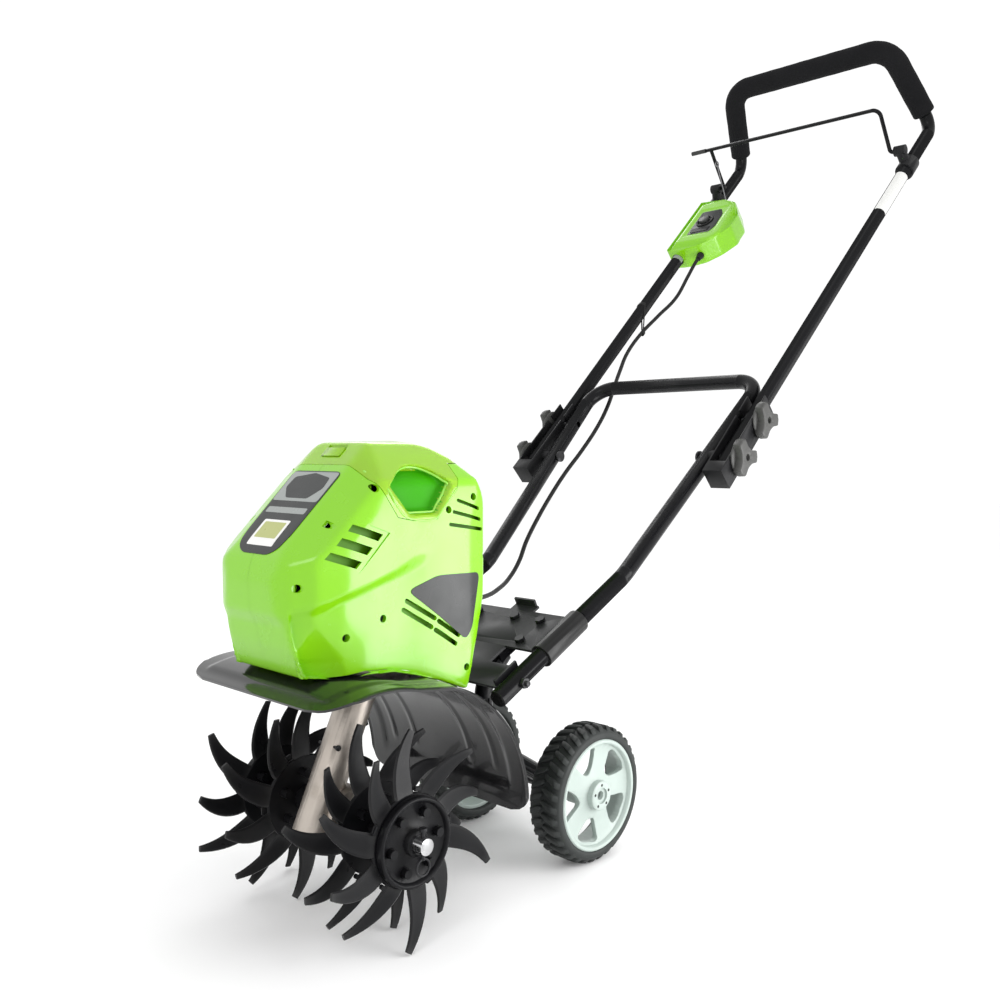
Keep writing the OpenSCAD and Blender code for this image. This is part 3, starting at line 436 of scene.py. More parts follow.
SIDE = [(-86, 262), (-60, 258), (-25, 262), (5, 260), (35, 252), (65, 242), (104, 226), (112, 255),
        (126, 300), (139, 345), (145, 384), (136, 420), (120, 450), (103, 470), (84, 481), (57, 487), (0, 485),
        (-8, 471), (-84, 395), (-100, 375), (-105, 355), (-103, 325), (-96, 292)]
FRONT = [(-86, 200), (86, 200), (88, 300), (88, 400), (83, 446), (56, 472), (42, 484), (20, 487), (-20, 487),
         (-42, 484), (-56, 472), (-83, 446), (-88, 400), (-88, 300)]
PLAN = [(36, -106), (58, -98), (78, -80), (86, -50), (88, -20), (88, 105), (82, 130), (66, 143), (30, 150),
        (-30, 150), (-66, 143), (-82, 130), (-88, 105), (-88, -20), (-86, -50), (-78, -80), (-58, -98),
        (-36, -106)]
ROOF = [(-90, 0), (90, 0), (90, 300), (80, 323), (41, 338), (-41, 338), (-80, 323), (-90, 300)]
LID = [(9, 411), (28, 407), (60, 407), (69, 416), (90, 436), (93.5, 447), (93.5, 462), (106, 462), (106, 500),
       (-20, 500), (-14, 448)]
SCREWS = [(-14, 440), (-58, 407), (-92, 350), (-46, 300), (-5, 314), (76, 416), (112, 428), (132, 366),
          (100, 252)]
# Crease between the round front and the flat flank, above and below the ridge: (Y, Z) from top to bottom.
CREASE = [(30, 500), (-9, 455), (-45, 417), (-82, 382), (-78, 360), (-68, 334), (-54, 302), (-44, 280),
          (-32, 240)]
# Upper and lower edge of the ridge that runs back from the chin: (Y, Z).
RIDGE_TOP = [(-130, 327), (-101, 330), (-74, 338), (-49, 345), (-28, 351), (-7, 358), (7, 363), (27, 374),
             (60, 388), (150, 420)]
RIDGE_LOW = [(-130, 312), (-101, 316), (-67, 325), (-53, 333), (-38, 337), (-8, 346), (23, 353), (60, 366),
             (150, 395)]
# Opening under the head, over the fender: (Y, Z).
FOOT = [(-120, 150), (130, 150), (130, 224), (104, 232), (60, 248), (30, 258), (0, 264), (-25, 266),
        (-60, 262), (-76, 264), (-120, 262)]
# Grid on which a label follows the moulding.
PATCH_STEP = 2.0
# Vents in the flank, in (Y, Z): slots behind the pocket, slots under the badge, windows of the grille, its pan.
REAR_SLOTS = [((90, 425), (119, 415.5)), ((83, 413.5), (122, 404)), ((77, 401), (125, 393.5))]
LOW_SLOTS = [((24, 328), (56, 308)), ((61, 304.5), (88, 287)), ((20, 319.5), (52, 299.5)),
             ((57, 296), (84, 278.5))]
WINDOWS = [[(-42, 407.4), (-48, 401), (-15, 389.5), (-9, 396)],
           [(-54, 395.4), (-61, 388.4), (-28.3, 377.2), (-21.3, 384.2)],
           [(-66.5, 382.7), (-73, 376.2), (-41.2, 365.2), (-34.2, 371.7)]]
PAN = [(-40.5, 411.5), (-78, 377), (-72, 371.5), (-39, 361), (-34.5, 364.5), (-1.5, 397)]
# Baffles behind the vents, in a darker green that paints the shade inside the vents, and how far they stand
# from the middle plane.
BAFFLES = [([(-40, 408), (-73, 377), (-69, 374), (-39, 363), (-34, 366), (-4, 395)], 75),
           ([(14, 334), (60, 313), (93, 290), (84, 271), (50, 290), (12, 314)], 76),
           ([(78, 430), (126, 420), (130, 390), (74, 396)], 74)]


def along_line(points, y):
    for (y0, z0), (y1, z1) in zip(points, points[1:]):
        if y <= y1:
            return z0 + (z1 - z0) * (y - y0) / (y1 - y0)
    return points[-1][1]


def smooth(t):
    t = max(0.0, min(1.0, t))
    return t * t * (3 - 2 * t)


def ahead_of_crease(y, z):
    """How far a flank point lies in front of the crease, or 0 behind it."""
    for (y0, z0), (y1, z1) in zip(CREASE, CREASE[1:]):
        if z >= z1:
            yc = y0 + (y1 - y0) * (z - z0) / (z1 - z0)
            run = Vector((y1 - y0, z1 - z0)).normalized()
            return max(0.0, (yc - y) * abs(run.y))
    return 0.0


def in_pocket(y, z):
    """Depth, 0 to 1, of the finger pocket in the flank of the lid."""
    dy, dz = y - 43, z - 431
    top = 462 - 0.012 * dy * dy - z
    low = Vector((dy, min(0.0, dz))).length
    side = z - (412 + max(0.0, abs(dy) - 17) * 1.25)
    return smooth(min(top, side, 60 - low) / 5.0)


def moulded_form():
    """The round-cornered outside of the head, before it is split into shells and lid."""
    o = prism("form", inset(SIDE, 0.6), "x", -95, 95)
    boolean(o, prism("front", inset(FRONT, 0.6), "y", -150, 200), "INTERSECT")
    boolean(o, prism("plan", inset(PLAN, 0.6), "z", 150, 550), "INTERSECT")
    roof = prism("roof", inset(ROOF, 0.6), "z", 0, 1200)
    roof.data.transform(Matrix(((1, 0, 0, 0), (0, -0.70711, 0.70711, -0.3), (0, 0.70711, 0.70711, -0.3),
                                (0, 0, 0, 1))))
    roof.data.flip_normals()
    boolean(o, roof, "INTERSECT")
    remeshed(o, 2.2)
    softened(o, 0.5, 26)
    me = o.data
    normals = [v.normal.copy() for v in me.vertices]
    for v, n in zip(me.vertices, normals):
        x, y, z = (c / MM for c in v.co)
        side = 1 if x > 0 else -1
        flank = smooth((abs(n.x) - 0.45) / 0.25)
        if flank > 0:
            ax = abs(x)
            ahead = ahead_of_crease(y, z)
            ax = min(ax, 88.2 - 0.60 * ahead)
            fade = 1 - smooth((y - 10) / 60)
            top, low = along_line(RIDGE_TOP, y), along_line(RIDGE_LOW, y)
            drop = 7.5 * fade * smooth((top - z) / max(4.0, top - low))
            sink = in_pocket(y, z) * 13
            ax = ax - flank * (drop + sink)
            v.co.x = side * ax * MM
        # Below the ridge the front steps back a little and draws in.
        v.co.y += 3.5 * MM * smooth((326 - z) / 16.0) * smooth((-y - 50) / 30)
        v.co.x *= 1 - 0.14 * smooth((334 - z) / 75) * smooth((-12 - y) / 65)
    me.update()
    return softened(o, 0.35, 2, 60)


def slot_outline(a, b, half):
    """A round-ended slot from a to b in the side view."""
    a, b = Vector(a), Vector(b)
    d = (b - a).normalized()
    start = math.atan2(d.y, d.x)
    out = []
    for centre, turn in ((b, -math.pi / 2), (a, math.pi / 2)):
        for k in range(7):
            t = start + turn + math.pi * k / 6
            out.append((centre.x + half * math.cos(t), centre.y + half * math.sin(t)))
    return out


def housing():
    form = moulded_form()
    outer = BVHTree.FromObject(form, bpy.context.evaluated_depsgraph_get())
    mod = form.modifiers.new("wall", "SOLIDIFY")
    mod.thickness = 3 * MM
    mod.offset = -1
    applied(form, 60)

    lid = form.copy()
    lid.data = form.data.copy()
    lid.name = "battery_lid_look"
    bpy.context.scene.collection.objects.link(lid)
    boolean(lid, prism("lid_cut", inset(LID, 0.7), "x", -120, 120), "INTERSECT")
    boolean(lid, prism("latch_room", [(-40, 470), (5, 470), (5, 520), (-40, 520)], "x", -16, 16))
    lid.data.materials.clear()
    lid.data.materials.append(M["lid"])
    lid.data.materials.append(M["pocket"])
    # Faces deep in the finger pocket take the darker pocket colour: painted shade of the pocket.
    for p in lid.data.polygons:
        c = p.center / MM
        if in_pocket(c.y, c.z) > 0.45 and abs(c.x) > 60:
            p.material_index = 1
    lid.data.shade_smooth()
    lid.data.set_sharp_from_angle(angle=rad(50))

    cuts = [prism("lid_hole", LID, "x", -120, 120)]
    cuts.append(prism("foot", FOOT, "x", -80, 80))
    cutters = []
    for s in (-1, 1):
        lo, hi = sorted((s * 60, s * 120))
        slots = [slot_outline(a, b, 1.9) for a, b in REAR_SLOTS]
        slots += [slot_outline(a, b, 2.5) for a, b in LOW_SLOTS]
        for shape in slots + [inset(window, 0.2) for window in WINDOWS]:
            cutters.append(prism("vent", shape, "x", lo, hi))
        for y, z in SCREWS:
            cutters.append(cylinder("screw_hole", (lo, y, z), (hi, y, z), 3.9, "green", 20))
        cuts.append(prism("pan", PAN, "x", *sorted((s * 86, s * 100))))
    for c in cuts:
        boolean(form, c)
    boolean(form, join(cutters))
    # Baffles behind the vents: darker green sheets as painted shade inside the vents.
    for s in (-1, 1):
        for shape, depth in BAFFLES:
            o = prism("baffle", shape, "x", *sorted((s * depth, s * (depth + 1.5))), "green_shade")
            place(o, "machine", "body_green")
    # Sleeves round the screws.
    sleeves = []
    for y, z in SCREWS:
        for s in (-1, 1):
            reach = []
            for k in range(8):
                a = rad(45 * k)
                spot = Vector((s * 150, y + 6 * math.cos(a), z + 6 * math.sin(a))) * MM
                hit = outer.ray_cast(spot, Vector((-s, 0, 0)))[0]
                reach.append(abs(hit.x) / MM if hit else 60)
            end = min(reach) - 1.0
            wall = [(3.9, 9), (6, 9), (6, end), (3.9, end)]
            sleeves.append(lathe("sleeve", wall, (0, y, z), (s, 0, 0), "green", 24))
            head = cylinder("screw_cap", (s * (end - 7), y, z), (s * (end - 4), y, z), 3.8, "bolt", 20)
            place(head, "machine", "steel")
    form = join([form] + sleeves)
    form.data.materials.clear()
    form.data.materials.append(M["green"])
    for s, name in ((1, "housing_left"), (-1, "housing_right")):
        half = form.copy()
        half.data = form.data.copy()
        half.name = name + "_look"
        bpy.context.scene.collection.objects.link(half)
        bm = bmesh.new()
        bm.from_mesh(half.data)
        bmesh.ops.bisect_plane(bm, geom=every(bm), plane_co=(s * 0.12 * MM, 0, 0), plane_no=(-s, 0, 0),
                               clear_outer=True)
        bm.to_mesh(half.data)
        bm.free()
        half.data.shade_smooth()
        half.data.set_sharp_from_angle(angle=rad(50))
        place(half, "machine", "body_green", name)
    bpy.data.objects.remove(form)
    place(lid, "lid", "lid_clear", "battery_lid")
    return outer


def patch(name, outline, ray, tree, material, lift=0.7):
    """A thin plate that follows the moulding under an outline of (u, v) points.

    ray(u, v) gives a start and a direction towards the moulding.
    """
    bm = bmesh.new()
    verts = [bm.verts.new((u, v, 0)) for u, v in outline]
    bm.faces.new(verts)
    lo = [min(p[k] for p in outline) for k in (0, 1)]
    hi = [max(p[k] for p in outline) for k in (0, 1)]
    for k in (0, 1):
        no = (1, 0, 0) if k == 0 else (0, 1, 0)
        at = lo[k] + PATCH_STEP
        while at < hi[k]:
            bmesh.ops.bisect_plane(bm, geom=every(bm), plane_co=(at, at, 0), plane_no=no)
            at += PATCH_STEP
    top = {}
    for v in bm.verts:
        start, way = ray(v.co.x, v.co.y)
        start, way = Vector(start) * MM, Vector(way).normalized()
        spot, normal, _, _ = tree.ray_cast(start, way)
        if spot is None:
            spot, normal, _, _ = tree.find_nearest(start + way * 0.1)
        top[v] = spot - way * lift * MM
        v.co = spot + way * 0.4 * MM
    made = bmesh.ops.extrude_face_region(bm, geom=bm.faces[:])
    lookup = {tuple(v.co): top[v] for v in top}
    for v in [g for g in made["geom"] if isinstance(g, bmesh.types.BMVert)]:
        v.co = lookup[tuple(v.co)]
    o = from_bm(name, bm, material, 40)
    return place(o, "machine", "label")


def rounded(points, r, steps=5):
    """An outline with its corners rounded to radius r."""
    out = []
    n = len(points)
    for i in range(n):
        a, b, c = (Vector(points[(i + k) % n]) for k in (-1, 0, 1))
        d1, d2 = (a - b), (c - b)
        rr = min(r, d1.length * 0.45, d2.length * 0.45)
        p1, p2 = b + d1.normalized() * rr, b + d2.normalized() * rr
        for k in range(steps + 1):
            t = k / steps
            out.append(tuple((1 - t) ** 2 * p1 + 2 * t * (1 - t) * b + t * t * p2))
    return out


def front_ray(u, v):
    """u across, v up the sloped front from its foot."""
    base = Vector((u, -96 + v * 0.70711, 383 + v * 0.70711))
    return base + Vector((0, -40, 40)), (0, 1, -1)


def labels(tree):
    base = rounded([(-40, 103), (-38, 20), (-34, 4), (-22, -4), (22, -4), (34, 4), (38, 20), (40, 103)], 8)
    o = patch("front_label_look", base, front_ray, tree, "label_dark", 0.7)
    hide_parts("front_label")
    # Blank fields: name, corners, corner radius, material, height of the field over the moulding.
    for name, outline, r, mat, lift in (
            ("top", [(-38.5, 101.5), (-37.5, 62), (37.5, 62), (38.5, 101.5)], 4, "label_light", 0.85),
            ("mark", [(-29, 94), (-31, 80), (-18, 66), (18, 66), (31, 80), (29, 94), (0, 100)], 3, "label_dark",
             1.0),
            ("stripe", [(-33, 53.5), (-33, 46), (33, 46), (33, 53.5)], 2, "label_light", 0.85),
            ("field", [(-22, 37), (-22, 5), (22, 5), (22, 37)], 2, "label_white", 0.85),
            ("square", [(-18, 34), (-18, 14), (18, 14), (18, 34)], 1.5, "label_olive", 0.95)):
        patch("front_label_" + name, rounded(outline, r), front_ray, tree, mat, lift)
    badge = rounded([(25, 338), (98, 281), (107, 292), (121, 349), (60, 351)], 9)
    for s, node in ((1, "left"), (-1, "right")):
        o = patch("side_badge_" + node, badge, lambda u, v, s=s: ((s * 140, u, v), (-s, 0, 0)), tree,
                  "label_dark", 0.8)
        if s > 0:
            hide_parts("side_badges")


def lid_beads(tree):
    """The bright edge beads round the flap of the lid and round its finger pocket."""
    flap = [(-18, 462), (-11, 456), (0, 438), (9.8, 421), (18, 412), (30, 408.5), (59, 408.5), (68, 416.5),
            (78, 426), (89, 437)]
    pocket = [(43 + d, 459.5 - 0.012 * d * d) for d in range(-38, 39, 4)]
    pocket += [(43 + d, 414.5 + max(0, abs(d) - 17) * 1.25) for d in range(38, -39, -4)]
    for s, end in ((-1, "right"), (1, "left")):
        for name, path, r, sunk, resolution, loop in (("lid_rim_", flap, 1.3, 0.6, 6, False),
                                                      ("pocket_rim_", pocket, 1.4, 0.0, 4, True)):
            pts = []
            for y, z in path:
                hit = tree.ray_cast(Vector((s * 150, y, z)) * MM, Vector((-s, 0, 0)))[0]
                if hit:
                    pts.append(hit / MM - Vector((s * sunk, 0, 0)))
            place(tube(name + end, pts, r, "lid_rim", resolution, loop), "lid", "lid_clear")


skin = housing()
labels(skin)
lid_beads(skin)


# ---------------------------------------------------------------- fender
# Height of the tine shaft, radius and half width of the fender, circle of the holes in the stars and hubs.
TINE_Z = 104
FENDER_R = 150
FENDER_HW = 130.0
HOLE_CIRCLE = 29


def fender():
    """One moulded sheet: an arc behind the tines that runs on over them, with a raised middle and grooves."""
    def bow(y, z, degrees):
        return y + FENDER_R * math.cos(rad(degrees)), z + FENDER_R * math.sin(rad(degrees))

    arc = [bow(0, TINE_Z, -4 + 78 * i / 60) for i in range(61)]
    arc += [bow(-40, TINE_Z + 5, 74 + 41 * i / 34) for i in range(1, 35)]
    length = [0.0]
    for p, q in zip(arc, arc[1:]):
        length.append(length[-1] + math.dist(p, q))
    total = length[-1]
    cols = 104

    def half_width(s):
        # Round corners at both ends of the sheet.
        for edge, r in ((s, 26.0), (total - s, 40.0)):
            if edge < r:
                return FENDER_HW - r + math.sqrt(max(0.0, r * r - (r - edge) ** 2))
        return FENDER_HW

    def groove(d, w):
        return smooth(1 - abs(d) / w)

    verts, faces = [], []
    for i, (y, z) in enumerate(arc):
        ahead = arc[min(i + 1, len(arc) - 1)]
        behind = arc[max(i - 1, 0)]
        t = Vector((ahead[0] - behind[0], ahead[1] - behind[1])).normalized()
        out = Vector((t.y, -t.x))
        s = length[i]
        hw = half_width(s)
        for k in range(cols + 1):
            x = hw * (2 * k / cols - 1)
            ax = abs(x)
            rim = min(FENDER_HW - ax, s, total - s)
            lift = 2.0 * smooth((108 - ax) / 9) * smooth((s - 20) / 14) * smooth((total - 12 - s) / 8)
            lift += 1.2 * groove(rim - 1.5, 3)
            for c in (46, 84):
                lift -= 1.3 * groove(ax - c, 5) * smooth((s - 38) / 8) * smooth((150 + c * 0.4 - s) / 8)
            lift -= 2.2 * smooth((ax - 126) / 4)
            verts.append((x, y + out.x * (lift - 1.2), z + out.y * (lift - 1.2)))
    n = cols + 1
    for i in range(len(arc) - 1):
        for k in range(cols):
            faces.append([i * n + k, i * n + k + 1, (i + 1) * n + k + 1, (i + 1) * n + k])
    o = from_lists("fender_look", verts, faces, "fender", 60)
    mod = o.modifiers.new("sheet", "SOLIDIFY")
    mod.thickness = 2.5 * MM
    mod.offset = 0
    applied(o, 60)
    lean = Matrix.Rotation(rad(-24.5), 4, "X")
    offset = Matrix.Translation(Vector((0, -0.02675, 0.15)))
    hole_at = Matrix.Translation(Vector((0, 0, 0.104))) @ lean @ offset
    hole = cylinder("hole", (0, 0, -40), (0, 0, 60), 31, "fender", 40)
    hole.data.transform(hole_at)
    boolean(o, hole)
    o.data.set_sharp_from_angle(angle=rad(50))
    place(o, "machine", "black_paint", "fender")


# ---------------------------------------------------------------- tines
# Section of a tooth: share of the way across it, share of its half thickness.
TOOTH_SECTION = ((0, 0.2), (0.10, 1), (0.5, 1.12), (0.90, 1), (1, 0.2), (1, -0.2), (0.90, -1), (0.5, -1),
                 (0.10, -1), (0, -0.2))


def round_holes(side, x0, x1, phase):
    """Cutters for the six holes round the shaft."""
    holes = []
    for k in range(6):
        a = rad(phase + 15 + 60 * k)
        y, z = HOLE_CIRCLE * math.cos(a), TINE_Z + HOLE_CIRCLE * math.sin(a)
        holes.append(cylinder("hole", (side * x0, y, z), (side * x1, y, z), 4.5, "tine", 24))
    return join(holes)


def tine_star(name, x, phase, side):
    """A forged star: a flat disc with ten scythe teeth that lean out and in by turns."""
    bm = bmesh.new()

    def spun(r, a, h):
        return Vector((side * (x + h), r * math.cos(a), TINE_Z + r * math.sin(a))) * MM

    def ring(r, h, n=80):
        return [bm.verts.new(spun(r, 2 * math.pi * k / n, h)) for k in range(n)]

    hoops = [ring(13.1, -2), ring(13.1, 2), ring(44.6, 2), ring(46, 0.9), ring(46, -0.9), ring(44.6, -2)]
    stitch(bm, hoops + hoops[:1], caps=False)
    for tooth in range(10):
        lean = 0.231 if tooth % 2 == 0 else -0.231
        turn = rad(phase + 36 * tooth)
        rows = []
        for i in range(13):
            s = i / 12
            r1, a1 = 45.4 + 58.6 * s, rad(14.5 - 29 * s ** 1.15)
            r2, a2 = 45.4 + 55.6 * s, rad(-14.5 - 3.6 * s + 3 * math.sin(math.pi * s))
            thick = 2.0 - 0.5 * s
            row = []
            bend = math.copysign(0.9, lean) * math.sin(math.pi * min(1.0, s * 1.1))
            for f, h in TOOTH_SECTION:
                r = r1 + (r2 - r1) * f
                a = a1 + (a2 - a1) * f
                out = lean * max(0.0, r * math.cos(a) - 46) + bend * (f - 0.5)
                row.append(bm.verts.new(spun(r, a + turn, out + h * thick)))
            rows.append(row)
        stitch(bm, rows)
    # Small welded lugs where the disc is joined to its hub.
    for k in range(5):
        a = rad(phase + 72 * k + 18)
        c = spun(49.5, a, 2.2)
        m = Matrix.Translation(c) @ Matrix.Rotation(a, 4, "X") @ Matrix.Diagonal((0.0034, 0.0045, 0.009, 1))
        lug = bmesh.ops.create_cube(bm, size=1, matrix=m)
        edges = list({e for v in lug["verts"] for e in v.link_edges})
        bmesh.ops.bevel(bm, geom=edges, offset=0.9 * MM, segments=2, affect="EDGES")
    o = from_bm(name + "_look", bm, "tine", 28)
    boolean(o, round_holes(side, x - 12, x + 12, phase), solver="EXACT")
    o.data.set_sharp_from_angle(angle=rad(28))
    place(o, "tines", "tine_paint", name)


def tine_hub(side, name):
    """The tube that carries both stars of a side, with a dished and pierced face plate."""
    x0 = 33
    sleeve = [(8.1, x0), (12, x0), (13, x0 + 1), (13, 124), (12.2, 125), (8.1, 125)]
    plate = [(12.5, 0.1), (42.4, 0.1), (43.4, 1.2), (43.4, 8), (42.2, 9.3), (40.4, 9.3), (39, 8), (38, 5),
             (33, 3.1), (22, 3.0), (16, 4.2), (12.5, 5.5)]
    parts = [lathe("hub", outline, (side * x, 0, TINE_Z), (side, 0, 0), "tine", 96)
             for outline, x in ((sleeve, 0), (plate, 114))]
    boolean(parts[1], round_holes(side, 108, 130, -9 * side))
    o = join(parts)
    bevel(o, 0.4, 2, 40, 30)
    place(o, "tines", "tine_paint", name)


# ---------------------------------------------------------------- wheels
# Outline of a window in the rim, as radius and degrees.
RIM_WINDOW = ((27, 4), (31, -13), (45, -21), (54.5, -22), (56, -10), (56, 13), (53.5, 20), (40, 17), (30, 14))
# How many lugs stand in each of the two rows of the tread.
LUGS = 34


def wheel(side, name):
    body = name + "_wheel"
    c = (0, 281, 79.2)
    axis = (side, 0, 0)
    barrel = [(64, 81), (64, 117.6), (62.6, 119), (60.2, 119), (59, 118), (58, 113.4), (50, 110.4), (30, 110.2),
              (24, 112.4), (17, 114), (17, 121), (15.8, 122), (9, 122), (9, 119.5), (5.2, 119.5), (5.2, 79),
              (17, 79), (17, 104.4), (50, 104.4), (57.4, 103), (59, 98), (59.6, 81)]
    rim = lathe("rim", barrel, c, axis, "rim", 120)
    cutters = []
    for i in range(5):
        shape = [(c[1] + r * math.cos(rad(a + 72 * i + 40)), c[2] + r * math.sin(rad(a + 72 * i + 40)))
                 for r, a in RIM_WINDOW]
        cutters.append(prism("window", rounded(shape, 5, 4), "x", *sorted((side * 101, side * 117)), "rim"))
    boolean(rim, join(cutters))
    bevel(rim, 1.0, 3, 40, 36)
    # Black spots flush on the hub face: painted shade standing for the small holes round the axle.
    for i in range(5):
        t = rad(72 * i + 20)
        p = Vector((side * 121, c[1] + 12.6 * math.cos(t), c[2] + 12.6 * math.sin(t)))
        pit = cylinder("hub_pit_shade", p, p + Vector((side * 1.05, 0, 0)), 1.7, "black", 16)
        place(pit, body, "rim_plastic")
    place(rim, body, "rim_plastic", name + "_rim")

    tread = [(64.05, 75.2), (68, 74.6), (71.6, 75.6), (74.2, 79), (75.2, 86), (75.6, 97), (75.2, 108),
             (74.2, 115), (71.6, 118.2), (68, 119.2), (64.05, 118.4)]
    tyre = lathe("tyre", tread, c, axis, "tyre", 120)
    bm = bmesh.new()
    bm.from_mesh(tyre.data)
    for i in range(LUGS):
        for row in (0, 1):
            t0 = 2 * math.pi * (i + 0.5 * row) / LUGS
            rows = []
            for j in range(6):
                f = j / 5
                # From the middle of the tread out over the shoulder.
                h = (97 - 20.5 * f) if row == 0 else (97 + 20.0 * f)
                r_low, r_top = (73, 79.0) if f < 0.75 else (70 if f < 1 else 66.5, 78.2 if f < 1 else 72.6)
                skew = 0.115 * f
                w = (0.050 + 0.018 * f) if j else 0.030
                row_v = []
                for dw, r in ((-1, r_low), (-0.72, r_top), (0.72, r_top), (1, r_low)):
                    a = t0 + skew + dw * w
                    p = Vector((side * h, c[1] + r * math.cos(a), c[2] + r * math.sin(a)))
                    row_v.append(bm.verts.new(p * MM))
                rows.append(row_v)
            stitch(bm, rows)
    bmesh.ops.recalc_face_normals(bm, faces=bm.faces)
    bm.to_mesh(tyre.data)
    bm.free()
    bevel(tyre, 0.8, 2, 35, 32)
    place(tyre, body, "tyre_rubber", name + "_tyre")


# ---------------------------------------------------------------- handle
SLOPE = rad(42.5)
FOLD = Vector((0, 482, 328 + 152 * math.tan(SLOPE)))
UP = Vector((0, math.cos(SLOPE), math.sin(SLOPE)))
UNDER = Vector((0, math.sin(SLOPE), -math.cos(SLOPE)))
# Lower end and upper bend of the right upper tube.
TUBE_LOW = Vector((-160, 482, FOLD.z)) - UP * 15
TUBE_BEND = Vector((-173.7, 1063, 328 + 733 * math.tan(SLOPE)))


# One lobe of a knob: degrees from its middle, radius.
LOBE = ((-60, 12.5), (-46, 12.9), (-34, 14.6), (-25, 18.4), (-19.5, 22.2), (-17, 23.3), (0, 23.6), (17, 23.3),
        (19.5, 22.2), (25, 18.4), (34, 14.6), (46, 12.9))


def knob(side, t, body, node):
    """Three-lobed clamping knob with scooped flanks and a round foot."""
    outline = [(20 + 120 * k + da, r * 1.06) for k in range(3) for da, r in LOBE]
    origin = FOLD + UP * t
    x0 = 174.4

    def at(r, a, h):
        # Local x outwards, the lobes turn in the plane of the bracket's flank.
        p = origin + (-UP * math.cos(rad(a)) + UNDER * math.sin(rad(a))) * r
        return Vector((side * (x0 + h), p.y, p.z)) * MM

    bm = bmesh.new()
    rows = []
    for h, k in ((2.6, 0.98), (11.6, 0.96), (12.6, 0.91), (13.0, 0.84)):
        rows.append([bm.verts.new(at(r * k, a, h)) for a, r in outline])
    stitch(bm, rows)
    lobes = from_bm("lobes", bm, "knob", 35)
    c = origin + Vector((side * x0, 0, 0))
    out = Vector((side, 0, 0))
    boolean(lobes, cylinder("hole", c + out * 9.4, c + out * 20, 4.4, "knob", 24))
    foot = [(4.1, 0), (19.5, 0), (20.5, 0.8), (20.5, 2.2), (19.4, 3.1), (4.1, 3.1)]
    foot = lathe("foot", foot, c, out, "knob", 48)
    o = join([lobes, foot])
    o.name = node + "_look"
    bevel(o, 0.35, 2, 40)
    place(o, body, "plastic_grey", node)


def box_frame():
    """Origin and axes of the switch box on the right upper tube: x inwards, y under the tube, z up it."""
    d = (TUBE_LOW - TUBE_BEND).normalized()
    p = TUBE_BEND + d * 140
    z = -d
    y = z.cross(Vector((1, 0, 0))).normalized()
    x = y.cross(z)
    m = Matrix((x, y, z)).transposed().to_4x4()
    m.translation = p * MM
    return m


def switch_box():
    m = box_frame()
    outline = inset([(-18, -150), (16, -154), (48, -148), (72, -130), (90, -104), (88, -66), (66, -24),
                     (32, -3), (-18, 4)], 1.0)
    # In this frame the outline runs across x and along z, and is drawn out along y.
    o = prism("switch_box_look", outline, "y", -23, 19)
    remeshed(o, 1.7)
    softened(o, 0.5, 34)
    me = o.data
    normals = [v.normal.copy() for v in me.vertices]
    for v, n in zip(me.vertices, normals):
        x, y, z = (c / MM for c in v.co)
        # The face towards the operator falls away to a flange, and has a panel sunk into it.
        if n.y < -0.3:
            face = smooth((-n.y - 0.3) / 0.3)
            edge = min(78 - x, x + 8, (z + 138), -12 - z + 0.2 * x)
            v.co.y += 7 * MM * face * (1 - smooth((edge + 6) / 12))
            panel = min(x - 2, 62 - x, z + 118, -34 - z)
            v.co.y += 1.4 * MM * face * smooth(panel / 3)
    me.update()
    softened(o, 0.4, 2)
    boolean(o, cylinder("tube_hole", (0, 0, -220), (0, 0, 60), 10.6, "green", 40))
    boolean(o, cylinder("button_hole", (28, -60, -76), (28, 30, -76), 12.8, "green", 40))
    boolean(o, cylinder("cable_hole", (44, 0, -180), (44, 0, -130), 3.6, "green", 24))
    o.data.transform(m)
    bevel(o, 0.5, 2, 40, 40)
    place(o, "upper", "body_green", "switch_box")

    def part(name, shape, y0, y1, mat, r=3, width=0.7):
        p = prism(name, rounded(shape, r), "y", y0, y1, mat)
        p.data.transform(m)
        bevel(p, width, 2, 40)
        place(p, "upper", "plastic_black")

    panel = [(8, -112), (52, -112), (58, -98), (56, -60), (46, -42), (8, -42)]
    part("box_panel", panel, -22.2, -19.2, "label_dark")
    part("box_grille", [(12, -108), (46, -108), (48, -96), (12, -96)], -23.0, -21.6, "grey", 2, 0.4)
    bezel = [(12.2, 0), (15.5, 0), (16, 0.6), (16, 3.0), (15.2, 3.6), (12.9, 3.6), (12.2, 3.0)]
    collar = [(3.1, 0), (5.6, 0), (6.2, 1.0), (6.2, 5), (5.0, 7), (4.4, 13), (3.1, 13.4)]
    for name, profile, centre, axis, segments in (("button_bezel", bezel, (28, -21.0, -76), (0, -1, 0), 48),
                                                  ("cable_collar", collar, (44, 0, -147), (0, 0, -1), 32)):
        ring = lathe(name, profile, centre, axis, "black", segments)
        ring.data.transform(m)
        place(ring, "upper", "plastic_black")
    refine("start_button", "button", 1.4, 3)
    return m


